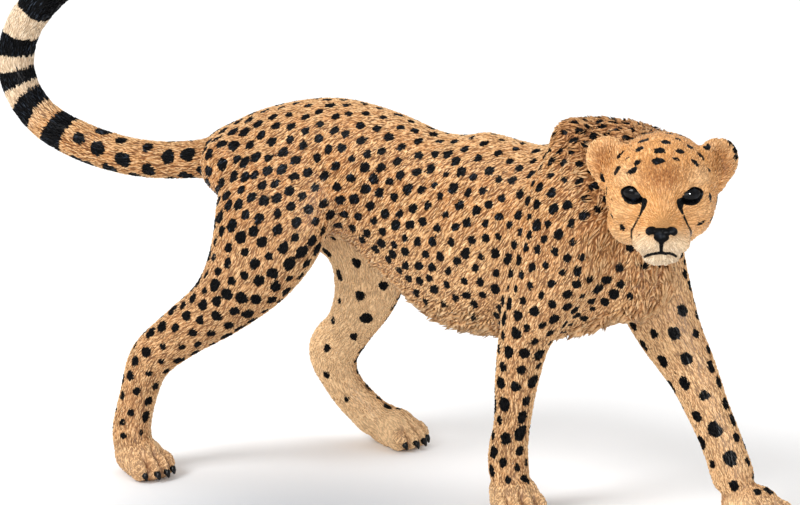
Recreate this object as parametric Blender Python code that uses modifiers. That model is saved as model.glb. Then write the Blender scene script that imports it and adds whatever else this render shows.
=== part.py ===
"""Cheetah figurine: a toy cat in one piece of hard plastic, walking, with its head turned to its right.

The flesh is built whole, in millimetres, from lofted forms and rounded muscles that are fused into one
skin. Thin cuts then part it where a person would name its parts, and everything is scaled to metres.
Body axes: +X is the way the trunk points, +Y is the cat's left and +Z is up, with the soles at Z = 0.
"""

import math
from dataclasses import dataclass

import bmesh
import bpy
import numpy as np
from mathutils import Matrix, Vector

NAME = "cheetah_figurine"
MM = 0.001  # everything below is in millimetres and is scaled once, at the end
KERF = 0.3  # width of the cuts that part one piece from the next
VOXEL = 0.36  # grid on which the forms are fused
BODY_EASING = 30  # rounds of smoothing that melt the lofts and muscles into each other
DETAIL_EASING = 6  # rounds that ease the seams of the head, ears and paws
FLESH_TRIANGLES = 5200  # of the whole flesh, before the cuts
HEAD_REACH = 10.5  # from the head's zero, within which its triangles stay fine
PAW_REACH = 4.0  # height above the floor, below which they do too
FINE_WEIGHT = 0.4
FINE_COST = 0.002
RING_SIDES = 24  # corners round each section of a loft
SPAN_STEPS = 5  # sections made between two given ones
SOLE_SNAP = 0.04  # height below which the skin is pressed flat onto the floor
CUT_STEPS = 20  # steps to a section in which a cut's place along a limb is counted
DISC_SIDES = 32
BALL_SIDES = (12, 8)  # segments and rings of an eye or the nose

# Each section is the place of its middle (x, y, z), half its depth and half its width across the body.
TRUNK = (
    (-18.0, 0.0, 35.3, 4.4, 4.2),
    (-12.0, 0.0, 36.0, 6.45, 5.8),
    (-5.0, 0.0, 36.2, 7.9, 6.2),
    (1.0, 0.0, 35.3, 8.2, 5.8),
    (6.5, 0.0, 32.7, 9.5, 5.5),
    (12.5, 0.0, 30.8, 11.5, 6.1),
    (21.0, 0.0, 30.4, 10.9, 6.7),
    (27.5, 0.0, 31.6, 10.25, 6.2),
    (33.0, 0.0, 32.2, 8.2, 5.2),
)
NECK = (
    (26.0, 0.0, 36.9, 8.0, 5.0),
    (30.5, 0.0, 37.4, 7.7, 5.2),
    (35.0, -1.2, 37.9, 7.1, 5.2),
    (38.0, -4.6, 38.6, 6.1, 5.0),
)
TAIL = (
    (-17.0, 0.0, 36.4, 3.0, 2.9),
    (-22.0, 0.0, 35.2, 2.35, 2.35),
    (-30.0, 0.0, 34.4, 2.3, 2.3),
    (-38.0, 0.0, 35.5, 2.35, 2.35),
    (-44.3, 0.0, 38.2, 2.25, 2.25),
    (-47.4, 0.0, 43.1, 2.25, 2.25),
    (-46.3, 0.0, 48.4, 2.25, 2.25),
    (-42.6, 0.0, 52.7, 2.2, 2.2),
    (-38.2, 0.0, 55.6, 1.9, 1.9),
)


@dataclass(frozen=True)
class Leg:
    """A leg: its sections from the body down to the ankle, where its paw stands and the way it points."""

    name: str
    sections: tuple
    paw: tuple
    heading: float  # degrees from +X, positive to the cat's left
    paw_scale: float
    cuts: tuple  # where it parts, counted in sections from its first


LEGS = (
    Leg(
        "hindleg_right",
        (
            (-9.6, -3.6, 36.4, 7.4, 3.6),
            (-9.1, -6.3, 30.8, 7.2, 3.9),
            (-10.8, -7.7, 25.7, 5.7, 3.6),
            (-14.4, -8.5, 20.9, 3.9, 3.1),
            (-19.2, -9.2, 17.1, 3.1, 2.55),
            (-23.1, -9.8, 13.6, 2.75, 2.35),
            (-24.5, -10.3, 9.6, 2.35, 2.1),
            (-25.3, -10.8, 5.4, 2.4, 2.2),
            (-25.0, -11.0, 2.8, 2.5, 2.3),
        ),
        (-23.8, -11.2),
        -20.0,
        1.1,
        (1.75, 4.7, 7.35),
    ),
    Leg(
        "hindleg_left",
        (
            (-8.4, 3.6, 36.2, 7.4, 3.6),
            (-6.4, 6.3, 30.2, 7.1, 3.9),
            (-4.4, 7.9, 24.6, 5.5, 3.6),
            (-5.4, 9.0, 19.2, 4.1, 3.1),
            (-7.9, 9.8, 14.7, 3.05, 2.5),
            (-10.5, 10.4, 11.2, 3.3, 2.4),
            (-9.9, 11.0, 7.7, 2.4, 2.2),
            (-8.1, 11.8, 5.0, 2.35, 2.25),
            (-5.8, 12.4, 2.8, 2.5, 2.3),
        ),
        (-3.5, 12.8),
        -12.0,
        1.1,
        (1.75, 4.6, 7.3),
    ),
    Leg(
        "foreleg_right",
        (
            (27.0, -3.2, 42.4, 2.6, 1.9),
            (27.2, -4.6, 37.6, 5.0, 2.9),
            (27.0, -5.2, 32.0, 5.5, 3.3),
            (24.4, -5.5, 26.0, 4.3, 3.0),
            (22.2, -5.3, 20.8, 3.1, 2.7),
            (21.0, -4.9, 15.4, 2.55, 2.35),
            (20.4, -4.6, 10.6, 2.15, 2.2),
            (19.8, -4.4, 7.2, 2.35, 2.3),
            (20.0, -4.4, 4.4, 2.4, 2.45),
        ),
        (20.9, -4.9),
        -46.0,
        1.2,
        (4.3, 6.6, 7.8),
    ),
    Leg(
        "foreleg_left",
        (
            (24.8, 3.4, 41.6, 2.6, 1.9),
            (27.6, 4.6, 37.0, 5.0, 2.9),
            (30.0, 5.2, 31.4, 5.6, 3.3),
            (32.3, 5.5, 25.4, 4.8, 3.1),
            (34.6, 5.3, 20.8, 4.0, 2.7),
            (37.5, 5.0, 16.6, 3.15, 2.45),
            (39.7, 4.8, 12.5, 2.6, 2.3),
            (41.7, 4.6, 8.6, 2.45, 2.35),
            (43.2, 4.4, 5.0, 2.55, 2.45),
        ),
        (45.9, 4.0),
        -14.0,
        1.2,
        (4.0, 6.8, 7.9),
    ),
)

# Muscles and bones that swell the skin: place, half sizes along X, Y and Z, and a lean about Y in degrees.
MUSCLES = (
    ((25.9, -2.8, 42.4), (2.9, 1.9, 3.2), 0.0),  # right shoulder blade, raised by the stride
    ((24.4, 2.8, 41.2), (2.9, 1.9, 2.6), 0.0),  # left shoulder blade
    ((-16.0, -3.6, 35.6), (3.9, 2.8, 3.8), 0.0),  # right buttock
    ((-16.0, 3.6, 35.6), (3.9, 2.8, 3.8), 0.0),  # left buttock
    ((32.5, 0.0, 27.0), (5.0, 4.6, 4.2), -20.0),  # breast
)

# The head has its own axes: forward along the nose, to its left, and up. Its zero lies between the ears.
HEAD_AT = (39.3, -8.0, 39.7)
HEAD_TURN = -66.0  # degrees from +X
HEAD_NOD = -1.0  # degrees that the nose points down when negative


@dataclass(frozen=True)
class Rounding:
    """A rounded form of the head: its middle, half sizes and a tilt of its front downwards in degrees."""

    middle: tuple
    half: tuple
    tilt: float = 0.0


# Sections of the head: how far forward and up its middle is, half its height and half its width.
HEAD = (
    (-6.0, 0.4, 3.9, 4.0),
    (-4.2, 0.4, 5.2, 5.2),
    (-1.8, 0.2, 5.9, 5.8),
    (0.6, 0.0, 6.1, 6.0),
    (3.0, -0.5, 5.6, 5.7),
    (4.4, -0.9, 4.9, 5.2),
    (5.4, -1.8, 3.8, 4.2),
    (6.4, -2.7, 2.9, 3.3),
    (7.5, -3.1, 2.45, 2.8),
    (8.3, -3.4, 2.0, 2.2),
)
HEAD_MIDDLE_FORMS = (
    Rounding((6.8, 0.0, 0.1), (3.0, 1.4, 1.1), 40.0),  # bridge of the nose
    Rounding((8.3, 0.0, -2.0), (1.3, 1.5, 1.1)),  # tip of the nose
    Rounding((6.9, 0.0, -5.2), (1.8, 2.2, 1.25), -6.0),  # chin
    Rounding((1.2, -2.9, -3.0), (4.2, 2.9, 2.6)),  # fold of the throat, inside the head's turn
)
HEAD_SIDE_FORMS = (
    Rounding((1.6, 2.6, -1.8), (4.2, 2.9, 3.0)),  # cheek
    Rounding((4.6, 3.0, 2.1), (1.6, 2.0, 1.3), 20.0),  # brow
    Rounding((3.9, 3.8, -1.2), (2.2, 1.8, 1.6)),  # cheekbone
    Rounding((-0.6, 4.4, 2.4), (1.7, 2.3, 2.5)),  # root of the ear
    Rounding((7.4, 1.45, -3.5), (1.9, 1.75, 1.55), 4.0),  # whisker pad
)
EYE_AT = (5.45, 2.95, 0.95)
EYE_RADIUS = 1.25
NOSE_AT = (8.95, 0.0, -2.2)
NOSE_HALF = (0.8, 1.6, 0.85)
EAR_AT = (-1.2, 5.4, 2.7)
EAR_HALF = (1.05, 2.85, 3.0)
EAR_ROOT_AT = (0.0, 0.0, -1.7)  # in the ear's axes
EAR_ROOT_HALF = (0.95, 2.75, 2.6)
EAR_SPREAD = 24.0  # degrees that the ear's hollow faces outwards
EAR_LEAN = 26.0  # degrees that the ear's tip leans outwards
EAR_HOLLOW = 1.15

# Where the head and ears part, in the head's axes, and the neck, in the body's.
HEAD_CUT_AHEAD = -4.4
HEAD_CUT_HALF = (8.0, 6.6)
EAR_CUT_AT = (-1.0, 5.35, 3.3)
EAR_CUT_FACING = (0.0, 0.82, 0.57)
EAR_CUT_HALF = (4.2, 3.6)
NECK_CUT_AT = (31.7, 0.0, 37.6)
NECK_CUT_FACING = (0.82, 0.0, 0.57)
NECK_CUT_HALF = (12.0, 9.0)
TAIL_CUTS = (0.95, 3.3, 6.0)  # along the tail, counted in sections from its first
LIMB_CUT_MARGIN = 1.3  # that a cut through a limb or the tail reaches past its skin

# A paw has a heel, a broad pad, four toes with short claws, and the toes fan out a little.
PAW_HEEL = ((-1.4, 0.0, 2.0), (2.1, 2.05, 2.3))
PAW_PAD = ((0.1, 0.0, 1.8), (2.6, 2.45, 2.3))
TOE_HALF = (1.5, 0.78, 1.45)
TOE_PITCH = 1.22  # between the middles of neighbouring toes
TOE_REACH = (2.35, 1.75)  # how far the inner and the outer pair stand out from the paw's middle
TOE_HEIGHT = 1.3
CLAW_LENGTH = 1.3
CLAW_RADIUS = 0.34
CLAW_TIP_RADIUS = 0.08
CLAW_REACH = 1.25  # from the middle of its toe to its own middle
CLAW_LIFT = -0.45
CLAW_DROP = 25.0  # degrees that its tip points down
CLAW_SIDES = 6

TAN = (0.72, 0.42, 0.18)
CREAM = (0.80, 0.62, 0.40)
BLACK = (0.012, 0.011, 0.012)


def catmull_rom(rows, steps):
    """Rows on a smooth curve through the given rows, with as many steps in each span."""
    rows = np.array(rows, float)
    padded = np.vstack([2 * rows[0] - rows[1], rows, 2 * rows[-1] - rows[-2]])
    curve = []
    for first in range(len(rows) - 1):
        before, start, end, after = padded[first : first + 4]
        for step in range(steps):
            t = step / steps
            curve.append(
                0.5
                * (
                    2 * start
                    + (end - before) * t
                    + (2 * before - 5 * start + 4 * end - after) * t**2
                    + (3 * start - before - 3 * end + after) * t**3
                )
            )
    return np.array([*curve, rows[-1]])


def rounded_ends(rows):
    """The rows with a few shrinking ones at each end, so that a loft closes in a dome."""
    dome_angles = (30.0, 55.0, 75.0)
    bulge = 0.75  # of the smaller half size
    made = []
    for row, inner in ((rows[0], rows[1]), (rows[-1], rows[-2])):
        outward = row[:3] - inner[:3]
        outward /= np.linalg.norm(outward)
        dome = []
        for angle in map(math.radians, dome_angles):
            shifted = row.copy()
            shifted[:3] += outward * bulge * min(row[3:]) * math.sin(angle)
            shifted[3:] *= math.cos(angle)
            dome.append(shifted)
        made.append(dome)
    return np.array([*made[0][::-1], *rows, *made[1]])


def add_loft(shape, sections, across=(0.0, 1.0, 0.0)):
    """Adds to the bmesh a closed tube through elliptical sections, whose width lies along across."""
    rows = rounded_ends(catmull_rom(sections, SPAN_STEPS))
    rings = []
    for index, row in enumerate(rows):
        ahead = rows[min(index + 1, len(rows) - 1)][:3] - rows[max(index - 1, 0)][:3]
        forward = Vector(ahead).normalized()
        side = (Vector(across) - forward * forward.dot(Vector(across))).normalized()
        upward = forward.cross(side)
        ring = []
        for corner in range(RING_SIDES):
            angle = 2 * math.pi * corner / RING_SIDES
            offset = side * row[4] * math.cos(angle) + upward * row[3] * math.sin(angle)
            ring.append(shape.verts.new(Vector(row[:3]) + offset))
        rings.append(ring)
    for ring, following in zip(rings, rings[1:]):
        for corner in range(RING_SIDES):
            beside = (corner + 1) % RING_SIDES
            shape.faces.new((ring[corner], ring[beside], following[beside], following[corner]))
    shape.faces.new(rings[0][::-1])
    shape.faces.new(rings[-1])


def add_rounding(shape, middle, half, turn):
    """Adds to the bmesh a ball scaled to its half sizes, turned and placed."""
    matrix = Matrix.Translation(middle) @ turn @ Matrix.Diagonal((*half, 1.0))
    bmesh.ops.create_uvsphere(shape, u_segments=24, v_segments=14, radius=1.0, matrix=matrix)


def head_matrix():
    """The head's axes and place in the body's."""
    turn = Matrix.Rotation(math.radians(HEAD_TURN), 4, "Z")
    nod = Matrix.Rotation(math.radians(-HEAD_NOD), 4, "Y")
    return Matrix.Translation(HEAD_AT) @ turn @ nod


def add_head(shape):
    """Adds the skull, jaw, muzzle and cheeks."""
    frame = head_matrix()
    sections = [(*(frame @ Vector((ahead, 0.0, up))), high, wide) for ahead, up, high, wide in HEAD]
    add_loft(shape, sections, frame.to_3x3() @ Vector((0.0, 1.0, 0.0)))
    forms = [(form, 1.0) for form in HEAD_MIDDLE_FORMS]
    forms += [(form, side) for form in HEAD_SIDE_FORMS for side in (-1.0, 1.0)]
    for form, side in forms:
        x, y, z = form.middle
        tilt = Matrix.Rotation(math.radians(form.tilt), 4, "Y")
        add_rounding(shape, (0.0, 0.0, 0.0), form.half, frame @ Matrix.Translation((x, y * side, z)) @ tilt)


def ear_matrix(side):
    """The axes of the ear on one side (1 for the left): forward out of its hollow, across, and to its tip."""
    x, y, z = EAR_AT
    spread = Matrix.Rotation(math.radians(EAR_SPREAD) * side, 4, "Z")
    lean = Matrix.Rotation(math.radians(-EAR_LEAN) * side, 4, "X")
    return head_matrix() @ Matrix.Translation((x, y * side, z)) @ lean @ spread


def add_ear(shape, side):
    """Adds a rounded ear and its broad root to the bmesh; its hollow is pressed in afterwards."""
    add_rounding(shape, (0.0, 0.0, 0.0), EAR_HALF, ear_matrix(side))
    root = ear_matrix(side) @ Matrix.Translation(EAR_ROOT_AT)
    add_rounding(shape, (0.0, 0.0, 0.0), EAR_ROOT_HALF, root)


def paw_matrix(leg):
    """The axes of a paw: forward along its toes, to its left, and up from the floor."""
    turn = Matrix.Rotation(math.radians(leg.heading), 4, "Z")
    return Matrix.Translation((*leg.paw, 0.0)) @ turn @ Matrix.Scale(leg.paw_scale, 4)


def toe_places():
    """Where the four toes of a paw stand in its own axes."""
    inner, outer = TOE_REACH
    reach = (outer, inner, inner, outer)
    return [(reach[toe], (toe - 1.5) * TOE_PITCH, TOE_HEIGHT) for toe in range(4)]


def add_paw(shape, leg):
    """Adds the heel, the pad and the four toes of a leg's paw."""
    frame = paw_matrix(leg)
    for middle, half in (PAW_HEEL, PAW_PAD):
        add_rounding(shape, (0.0, 0.0, 0.0), half, frame @ Matrix.Translation(middle))
    for middle in toe_places():
        add_rounding(shape, (0.0, 0.0, 0.0), TOE_HALF, frame @ Matrix.Translation(middle))


def new_object(name, shape, collection):
    """An object in the collection that holds the bmesh's faces, which are freed."""
    mesh = bpy.data.meshes.new(name)
    shape.to_mesh(mesh)
    shape.free()
    made = bpy.data.objects.new(name, mesh)
    collection.objects.link(made)
    return made


def apply_modifiers(thing):
    """Replaces the object's mesh by what its modifiers make of it."""
    bpy.context.view_layer.update()
    evaluated = thing.evaluated_get(bpy.context.evaluated_depsgraph_get())
    mesh = bpy.data.meshes.new_from_object(evaluated)
    old = thing.data
    thing.modifiers.clear()
    thing.data = mesh
    bpy.data.meshes.remove(old)


def fuse(thing, voxel, smoothings):
    """Fuses overlapping closed forms into one skin on a grid, and eases its creases."""
    remesh = thing.modifiers.new("fuse", "REMESH")
    remesh.mode = "VOXEL"
    remesh.voxel_size = voxel
    smooth = thing.modifiers.new("ease", "SMOOTH")
    smooth.factor = 0.5
    smooth.iterations = smoothings
    apply_modifiers(thing)


def coordinates(mesh):
    """The places of a mesh's points, one row each."""
    found = np.empty(len(mesh.vertices) * 3, np.float32)
    mesh.vertices.foreach_get("co", found)
    return found.reshape(-1, 3).astype(float)


def press(points, frame, middle, spread, push):
    """Moves the points near a place of the frame, most at its middle, by the push along the frame's axes."""
    local = (points - np.array(frame.translation)) @ np.array(frame.to_3x3())
    near = (((local - np.array(middle)) / np.array(spread)) ** 2).sum(1)
    points += np.exp(-near)[:, None] * (np.array(frame.to_3x3()) @ np.array(push))


def sculpt_head(points):
    """Presses the eye sockets, the ears' hollows and the hollow beside the bridge into the head."""
    frame = head_matrix()
    for side in (-1.0, 1.0):
        press(points, frame, (6.2, 3.0 * side, 0.7), (2.4, 1.8, 1.2), (-1.15, 0.0, 0.0))
        press(points, frame, (6.6, 2.0 * side, 0.1), (1.6, 0.8, 1.2), (-0.5, 0.0, 0.0))
        press(points, frame, (6.8, 2.9 * side, -1.6), (1.4, 1.0, 1.2), (-0.4, -0.1 * side, 0.0))
        hollow = ear_matrix(side)
        press(points, hollow, (EAR_HALF[0], 0.0, 0.3), (0.8, 1.5, 1.8), (-EAR_HOLLOW, 0.0, 0.0))


def level_soles(body):
    """Flattens the soles on the floor."""
    points = coordinates(body.data)
    points[points[:, 2] < SOLE_SNAP, 2] = 0.0
    body.data.vertices.foreach_set("co", points.ravel())


def build_flesh(collection):
    """The whole body as one closed skin, already light in triangles."""
    shape = bmesh.new()
    for sections in (TRUNK, NECK, TAIL):
        add_loft(shape, sections)
    for middle, half, lean in MUSCLES:
        add_rounding(shape, middle, half, Matrix.Rotation(math.radians(lean), 4, "Y"))
    for leg in LEGS:
        add_loft(shape, leg.sections)
    body = new_object("flesh", shape, collection)
    fuse(body, VOXEL, BODY_EASING)

    details = bmesh.new()
    add_head(details)
    for side in (-1.0, 1.0):
        add_ear(details, side)
    for leg in LEGS:
        add_paw(details, leg)
    details.from_mesh(body.data)
    details.to_mesh(body.data)
    details.free()
    fuse(body, VOXEL, DETAIL_EASING)

    points = coordinates(body.data)
    sculpt_head(points)
    body.data.vertices.foreach_set("co", points.ravel())
    level_soles(body)
    lighten(body)
    level_soles(body)
    return body


def lighten(body):
    """Takes triangles away, fewest on the head and the paws, where the detail is."""
    points = coordinates(body.data)
    loose = body.vertex_groups.new(name="loose")
    fine = (np.linalg.norm(points - np.array(HEAD_AT), axis=1) < HEAD_REACH) | (points[:, 2] < PAW_REACH)
    for chosen, weight in ((fine, FINE_WEIGHT), (~fine, 1.0)):
        loose.add([int(index) for index in np.flatnonzero(chosen)], weight, "REPLACE")
    decimate = body.modifiers.new("lighten", "DECIMATE")
    decimate.ratio = FLESH_TRIANGLES / (2.0 * len(body.data.polygons))
    decimate.vertex_group = "loose"
    decimate.vertex_group_factor = FINE_COST
    apply_modifiers(body)


def disc_matrix(place, facing, half):
    """A disc's axes: its face, then across it, with its first half size along the steepest way up."""
    out = Vector(facing).normalized()
    reference = Vector((0.0, 0.0, 1.0)) if abs(out.z) < 0.9 else Vector((1.0, 0.0, 0.0))
    along = (reference - out * out.dot(reference)).normalized()
    axes = Matrix((along, out.cross(along), out)).transposed().to_4x4()
    return Matrix.Translation(place) @ axes @ Matrix.Diagonal((*half, 1.0, 1.0))


def limb_cut(sections, count):
    """The disc that cuts a loft through, so many sections from its first."""
    rows = catmull_rom(sections, CUT_STEPS)
    index = round(count * CUT_STEPS)
    row = rows[index]
    facing = rows[index + 1][:3] - rows[index - 1][:3]
    reach = max(row[3:]) + LIMB_CUT_MARGIN
    return disc_matrix(row[:3], facing, (reach, reach))


def cutting_discs():
    """The places and sizes of all the thin discs that part the flesh."""
    frame = head_matrix()
    turn = frame.to_3x3()
    discs = [
        disc_matrix(NECK_CUT_AT, NECK_CUT_FACING, NECK_CUT_HALF),
        disc_matrix(frame @ Vector((HEAD_CUT_AHEAD, 0.0, 0.0)), turn.col[0], HEAD_CUT_HALF),
    ]
    for side in (-1.0, 1.0):
        mirror = Matrix.Diagonal((1.0, side, 1.0))
        place = frame @ (mirror @ Vector(EAR_CUT_AT))
        discs.append(disc_matrix(place, turn @ (mirror @ Vector(EAR_CUT_FACING)), EAR_CUT_HALF))
    discs += [limb_cut(TAIL, count) for count in TAIL_CUTS]
    for leg in LEGS:
        discs += [limb_cut(leg.sections, count) for count in leg.cuts]
    return discs


def combine(body, tool, operation):
    """Joins a tool to the body, or cuts it away, and keeps the tool as a wire guide."""
    tool.hide_render = True
    tool.display_type = "WIRE"
    boolean = body.modifiers.new(operation.lower(), "BOOLEAN")
    boolean.operation = operation
    boolean.object = tool
    boolean.solver = "EXACT"
    apply_modifiers(body)


def add_claws(body, guides):
    """Joins a short blunt claw to the front of each toe."""
    shape = bmesh.new()
    point = Matrix.Rotation(math.radians(90.0 + CLAW_DROP), 4, "Y")
    for leg in LEGS:
        for x, y, z in toe_places():
            place = Matrix.Translation((x + CLAW_REACH, y, z + CLAW_LIFT))
            bmesh.ops.create_cone(
                shape,
                cap_ends=True,
                segments=CLAW_SIDES,
                radius1=CLAW_RADIUS,
                radius2=CLAW_TIP_RADIUS,
                depth=CLAW_LENGTH,
                matrix=paw_matrix(leg) @ place @ point,
            )
    combine(body, new_object("claws_guide", shape, guides), "UNION")


def eye_matrix(side):
    """The axes of an eye, 1 for the left."""
    x, y, z = EYE_AT
    return head_matrix() @ Matrix.Translation((x, y * side, z))


def build_ball(name, matrix, half, collection):
    """An eye or the nose: a ball scaled to its half sizes."""
    shape = bmesh.new()
    matrix = matrix @ Matrix.Diagonal((*half, 1.0))
    around, along = BALL_SIDES
    bmesh.ops.create_uvsphere(shape, u_segments=around, v_segments=along, radius=1.0, matrix=matrix)
    return new_object(name, shape, collection)


def build_face_pieces(body, pieces, guides):
    """The eyes and the nose, each in a socket that is larger by the gap round it."""
    nose = head_matrix() @ Matrix.Translation(NOSE_AT)
    places = [
        ("eye_left", eye_matrix(1.0), (EYE_RADIUS,) * 3),
        ("eye_right", eye_matrix(-1.0), (EYE_RADIUS,) * 3),
        ("nose", nose, NOSE_HALF),
    ]
    for name, matrix, half in places:
        socket = tuple(size + KERF for size in half)
        combine(body, build_ball(name + "_socket", matrix, socket, guides), "DIFFERENCE")
        build_ball(name, matrix, half, pieces)


def flesh_hearts():
    """A point inside each piece of flesh, by the piece's name."""
    frame = head_matrix()
    hearts = {
        "head": frame @ Vector((2.0, 0.0, -1.0)),
        "ear_left": ear_matrix(1.0) @ Vector((0.0, 0.0, 1.2)),
        "ear_right": ear_matrix(-1.0) @ Vector((0.0, 0.0, 1.2)),
        "neck": Vector((36.5, -1.4, 37.6)),
        "trunk": Vector((9.0, 0.0, 32.0)),
    }
    limbs = [("tail", TAIL, TAIL_CUTS, ("base", "middle", "tip"))]
    limbs += [(leg.name, leg.sections, leg.cuts, ("upper", "lower", "paw")) for leg in LEGS]
    for name, sections, cuts, parts in limbs:
        rows = catmull_rom(sections, CUT_STEPS)
        for part, start, end in zip(parts, cuts, (*cuts[1:], len(sections) - 1)):
            hearts[f"{name}_{part}"] = Vector(rows[round((start + end) / 2 * CUT_STEPS)][:3])
    return hearts


def islands(mesh):
    """The lists of a mesh's points that hang together, each in order, by their first point."""
    home = list(range(len(mesh.vertices)))

    def root(point):
        while home[point] != point:
            home[point] = home[home[point]]
            point = home[point]
        return point

    for edge in mesh.edges:
        first, second = sorted(map(root, edge.vertices))
        home[second] = first
    groups = {}
    for point in range(len(home)):
        groups.setdefault(root(point), []).append(point)
    return list(groups.values())


def part_flesh(body, pieces, guides):
    """Cuts the flesh and gives each piece that comes loose its own object."""
    for matrix in cutting_discs():
        disc = bmesh.new()
        bmesh.ops.create_cone(
            disc, cap_ends=True, segments=DISC_SIDES, radius1=1.0, radius2=1.0, depth=KERF, matrix=matrix
        )
        combine(body, new_object("cut", disc, guides), "DIFFERENCE")
    hearts = flesh_hearts()
    found = islands(body.data)
    if len(found) != len(hearts):
        raise ValueError(f"The cuts leave {len(found)} pieces where {len(hearts)} are named.")
    for island in found:
        middle = sum((body.data.vertices[point].co for point in island), Vector()) / len(island)
        name = min(hearts, key=lambda heart: (hearts[heart] - middle).length)
        del hearts[name]
        piece = bmesh.new()
        copies = {point: piece.verts.new(body.data.vertices[point].co) for point in island}
        for face in body.data.polygons:
            if face.vertices[0] in copies:
                piece.faces.new([copies[point] for point in face.vertices])
        new_object(name, piece, pieces)
    bpy.data.objects.remove(body, do_unlink=True)


def finish(piece):
    """Gives a piece its material, in its node's own name, and smooth shading."""
    material = bpy.data.materials.new(piece.name + "_paint")
    material.use_nodes = True
    paint = material.node_tree.nodes["Principled BSDF"]
    dark = piece.name.startswith(("eye", "nose"))
    colour = BLACK if dark else CREAM if piece.name.endswith(("paw", "tip")) else TAN
    paint.inputs["Base Color"].default_value = (*colour, 1.0)
    paint.inputs["Roughness"].default_value = 0.15 if dark else 0.55
    paint.inputs["Metallic"].default_value = 0.0
    piece.data.materials.append(material)
    piece.data.shade_smooth()


def stand_on_origin(pieces, guides):
    """Scales all to metres, with the origin under the middle of the pieces, at their lowest level."""
    places = np.vstack([coordinates(piece.data) for piece in pieces])
    low = places.min(0)
    centre = (low + places.max(0)) / 2
    centre[2] = low[2]
    for thing in (*pieces, *guides):
        points = (coordinates(thing.data) - centre) * MM
        thing.data.vertices.foreach_set("co", points.ravel())
        thing.data.update()


def main():
    for thing in list(bpy.data.objects):
        bpy.data.objects.remove(thing, do_unlink=True)
    pieces = bpy.data.collections.new(NAME)
    guides = bpy.data.collections.new("guides")
    for collection in (pieces, guides):
        bpy.context.scene.collection.children.link(collection)
    body = build_flesh(guides)
    add_claws(body, guides)
    build_face_pieces(body, pieces, guides)
    part_flesh(body, pieces, guides)
    stand_on_origin(pieces.objects, guides.objects)
    for piece in pieces.objects:
        finish(piece)


main()
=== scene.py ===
"""The looks of a toy cheetah figurine: one moulded skin with engraved fur and hand-painted markings.

The forms are fused on a fine grid into one skin, sculpted, and covered with raised strokes of moulded fur.
Lengths are in millimetres in the body's own axes, where +X is the way the trunk points, +Y is the cat's
left and +Z is up, until a mesh is put into the frame.
"""

import logging
import math
from copy import copy
from dataclasses import astuple, dataclass, field
from enum import Enum

import bmesh
import bpy
import numpy as np
from mathutils import Matrix, Vector, noise
from mathutils.kdtree import KDTree


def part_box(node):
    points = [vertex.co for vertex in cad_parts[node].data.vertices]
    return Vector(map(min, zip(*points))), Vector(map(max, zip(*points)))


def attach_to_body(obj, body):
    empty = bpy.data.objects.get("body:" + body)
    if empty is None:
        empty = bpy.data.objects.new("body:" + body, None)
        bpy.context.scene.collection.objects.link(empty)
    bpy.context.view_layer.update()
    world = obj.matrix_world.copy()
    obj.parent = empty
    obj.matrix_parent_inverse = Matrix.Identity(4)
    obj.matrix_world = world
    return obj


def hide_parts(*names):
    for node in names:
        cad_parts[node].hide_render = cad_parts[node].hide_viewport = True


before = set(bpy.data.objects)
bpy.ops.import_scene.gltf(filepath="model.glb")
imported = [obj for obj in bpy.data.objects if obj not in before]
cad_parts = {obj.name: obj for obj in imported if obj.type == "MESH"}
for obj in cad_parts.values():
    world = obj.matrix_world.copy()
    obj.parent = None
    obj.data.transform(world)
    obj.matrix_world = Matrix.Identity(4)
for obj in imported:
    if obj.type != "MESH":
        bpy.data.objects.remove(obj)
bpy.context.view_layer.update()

LOG = logging.getLogger("cheetah")
MM = 0.001
SEED = 7
SIDES = (-1.0, 1.0)  # the cat's right and its left
FAR = 9.0  # a distance that is outside every painted mark
NEVER = 1e3  # the spacing of spots or strokes where there are none
DOWN = np.array([0.0, 0.0, -1.0])
Array = np.ndarray
Pair = tuple[float, float]
Place = tuple[float, float, float]
Colour = tuple[float, float, float, float]
Rows = tuple[tuple[float, ...], ...]
Paints = dict[str, Array]


def smooth_step(values: Array, low: float, high: float) -> Array:
    """Rises smoothly from 0 at low to 1 at high.

    Args:
        values: Any numbers.
        low: Where the rise begins.
        high: Where it ends; below low it falls instead.

    Returns:
        One number from 0 to 1 for each value.
    """
    t = np.clip((np.asarray(values, float) - low) / (high - low), 0.0, 1.0)
    return t * t * (3.0 - 2.0 * t)


def unit(vectors: Array) -> Array:
    """The vectors scaled to length 1."""
    return vectors / np.maximum(np.linalg.norm(vectors, axis=-1, keepdims=True), 1e-9)


def bell(values: Array, spread: float) -> Array:
    """1 at 0, and lower the more spreads a value is away from it."""
    return np.exp(-((values / spread) ** 2))


def tree_of(points: Array) -> KDTree:
    """The points sorted in space, each known by its order."""
    tree = KDTree(len(points))
    for order, place in enumerate(points):
        tree.insert(place, order)
    tree.balance()
    return tree


def nearest_in(tree: KDTree, places: Array) -> Array:
    """The order of the tree's point that is nearest to each place."""
    return np.array([tree.find(place)[1] for place in places])


def join_rings(shape: bmesh.types.BMesh, rings: list[list[bmesh.types.BMVert]]) -> None:
    """Joins rings of vertices, each to the next, into a closed tube."""
    for ring, following in zip(rings, rings[1:]):
        for corner in range(len(ring)):
            beside = (corner + 1) % len(ring)
            shape.faces.new((ring[corner], ring[beside], following[beside], following[corner]))
    shape.faces.new(rings[0][::-1])
    shape.faces.new(rings[-1])


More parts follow.
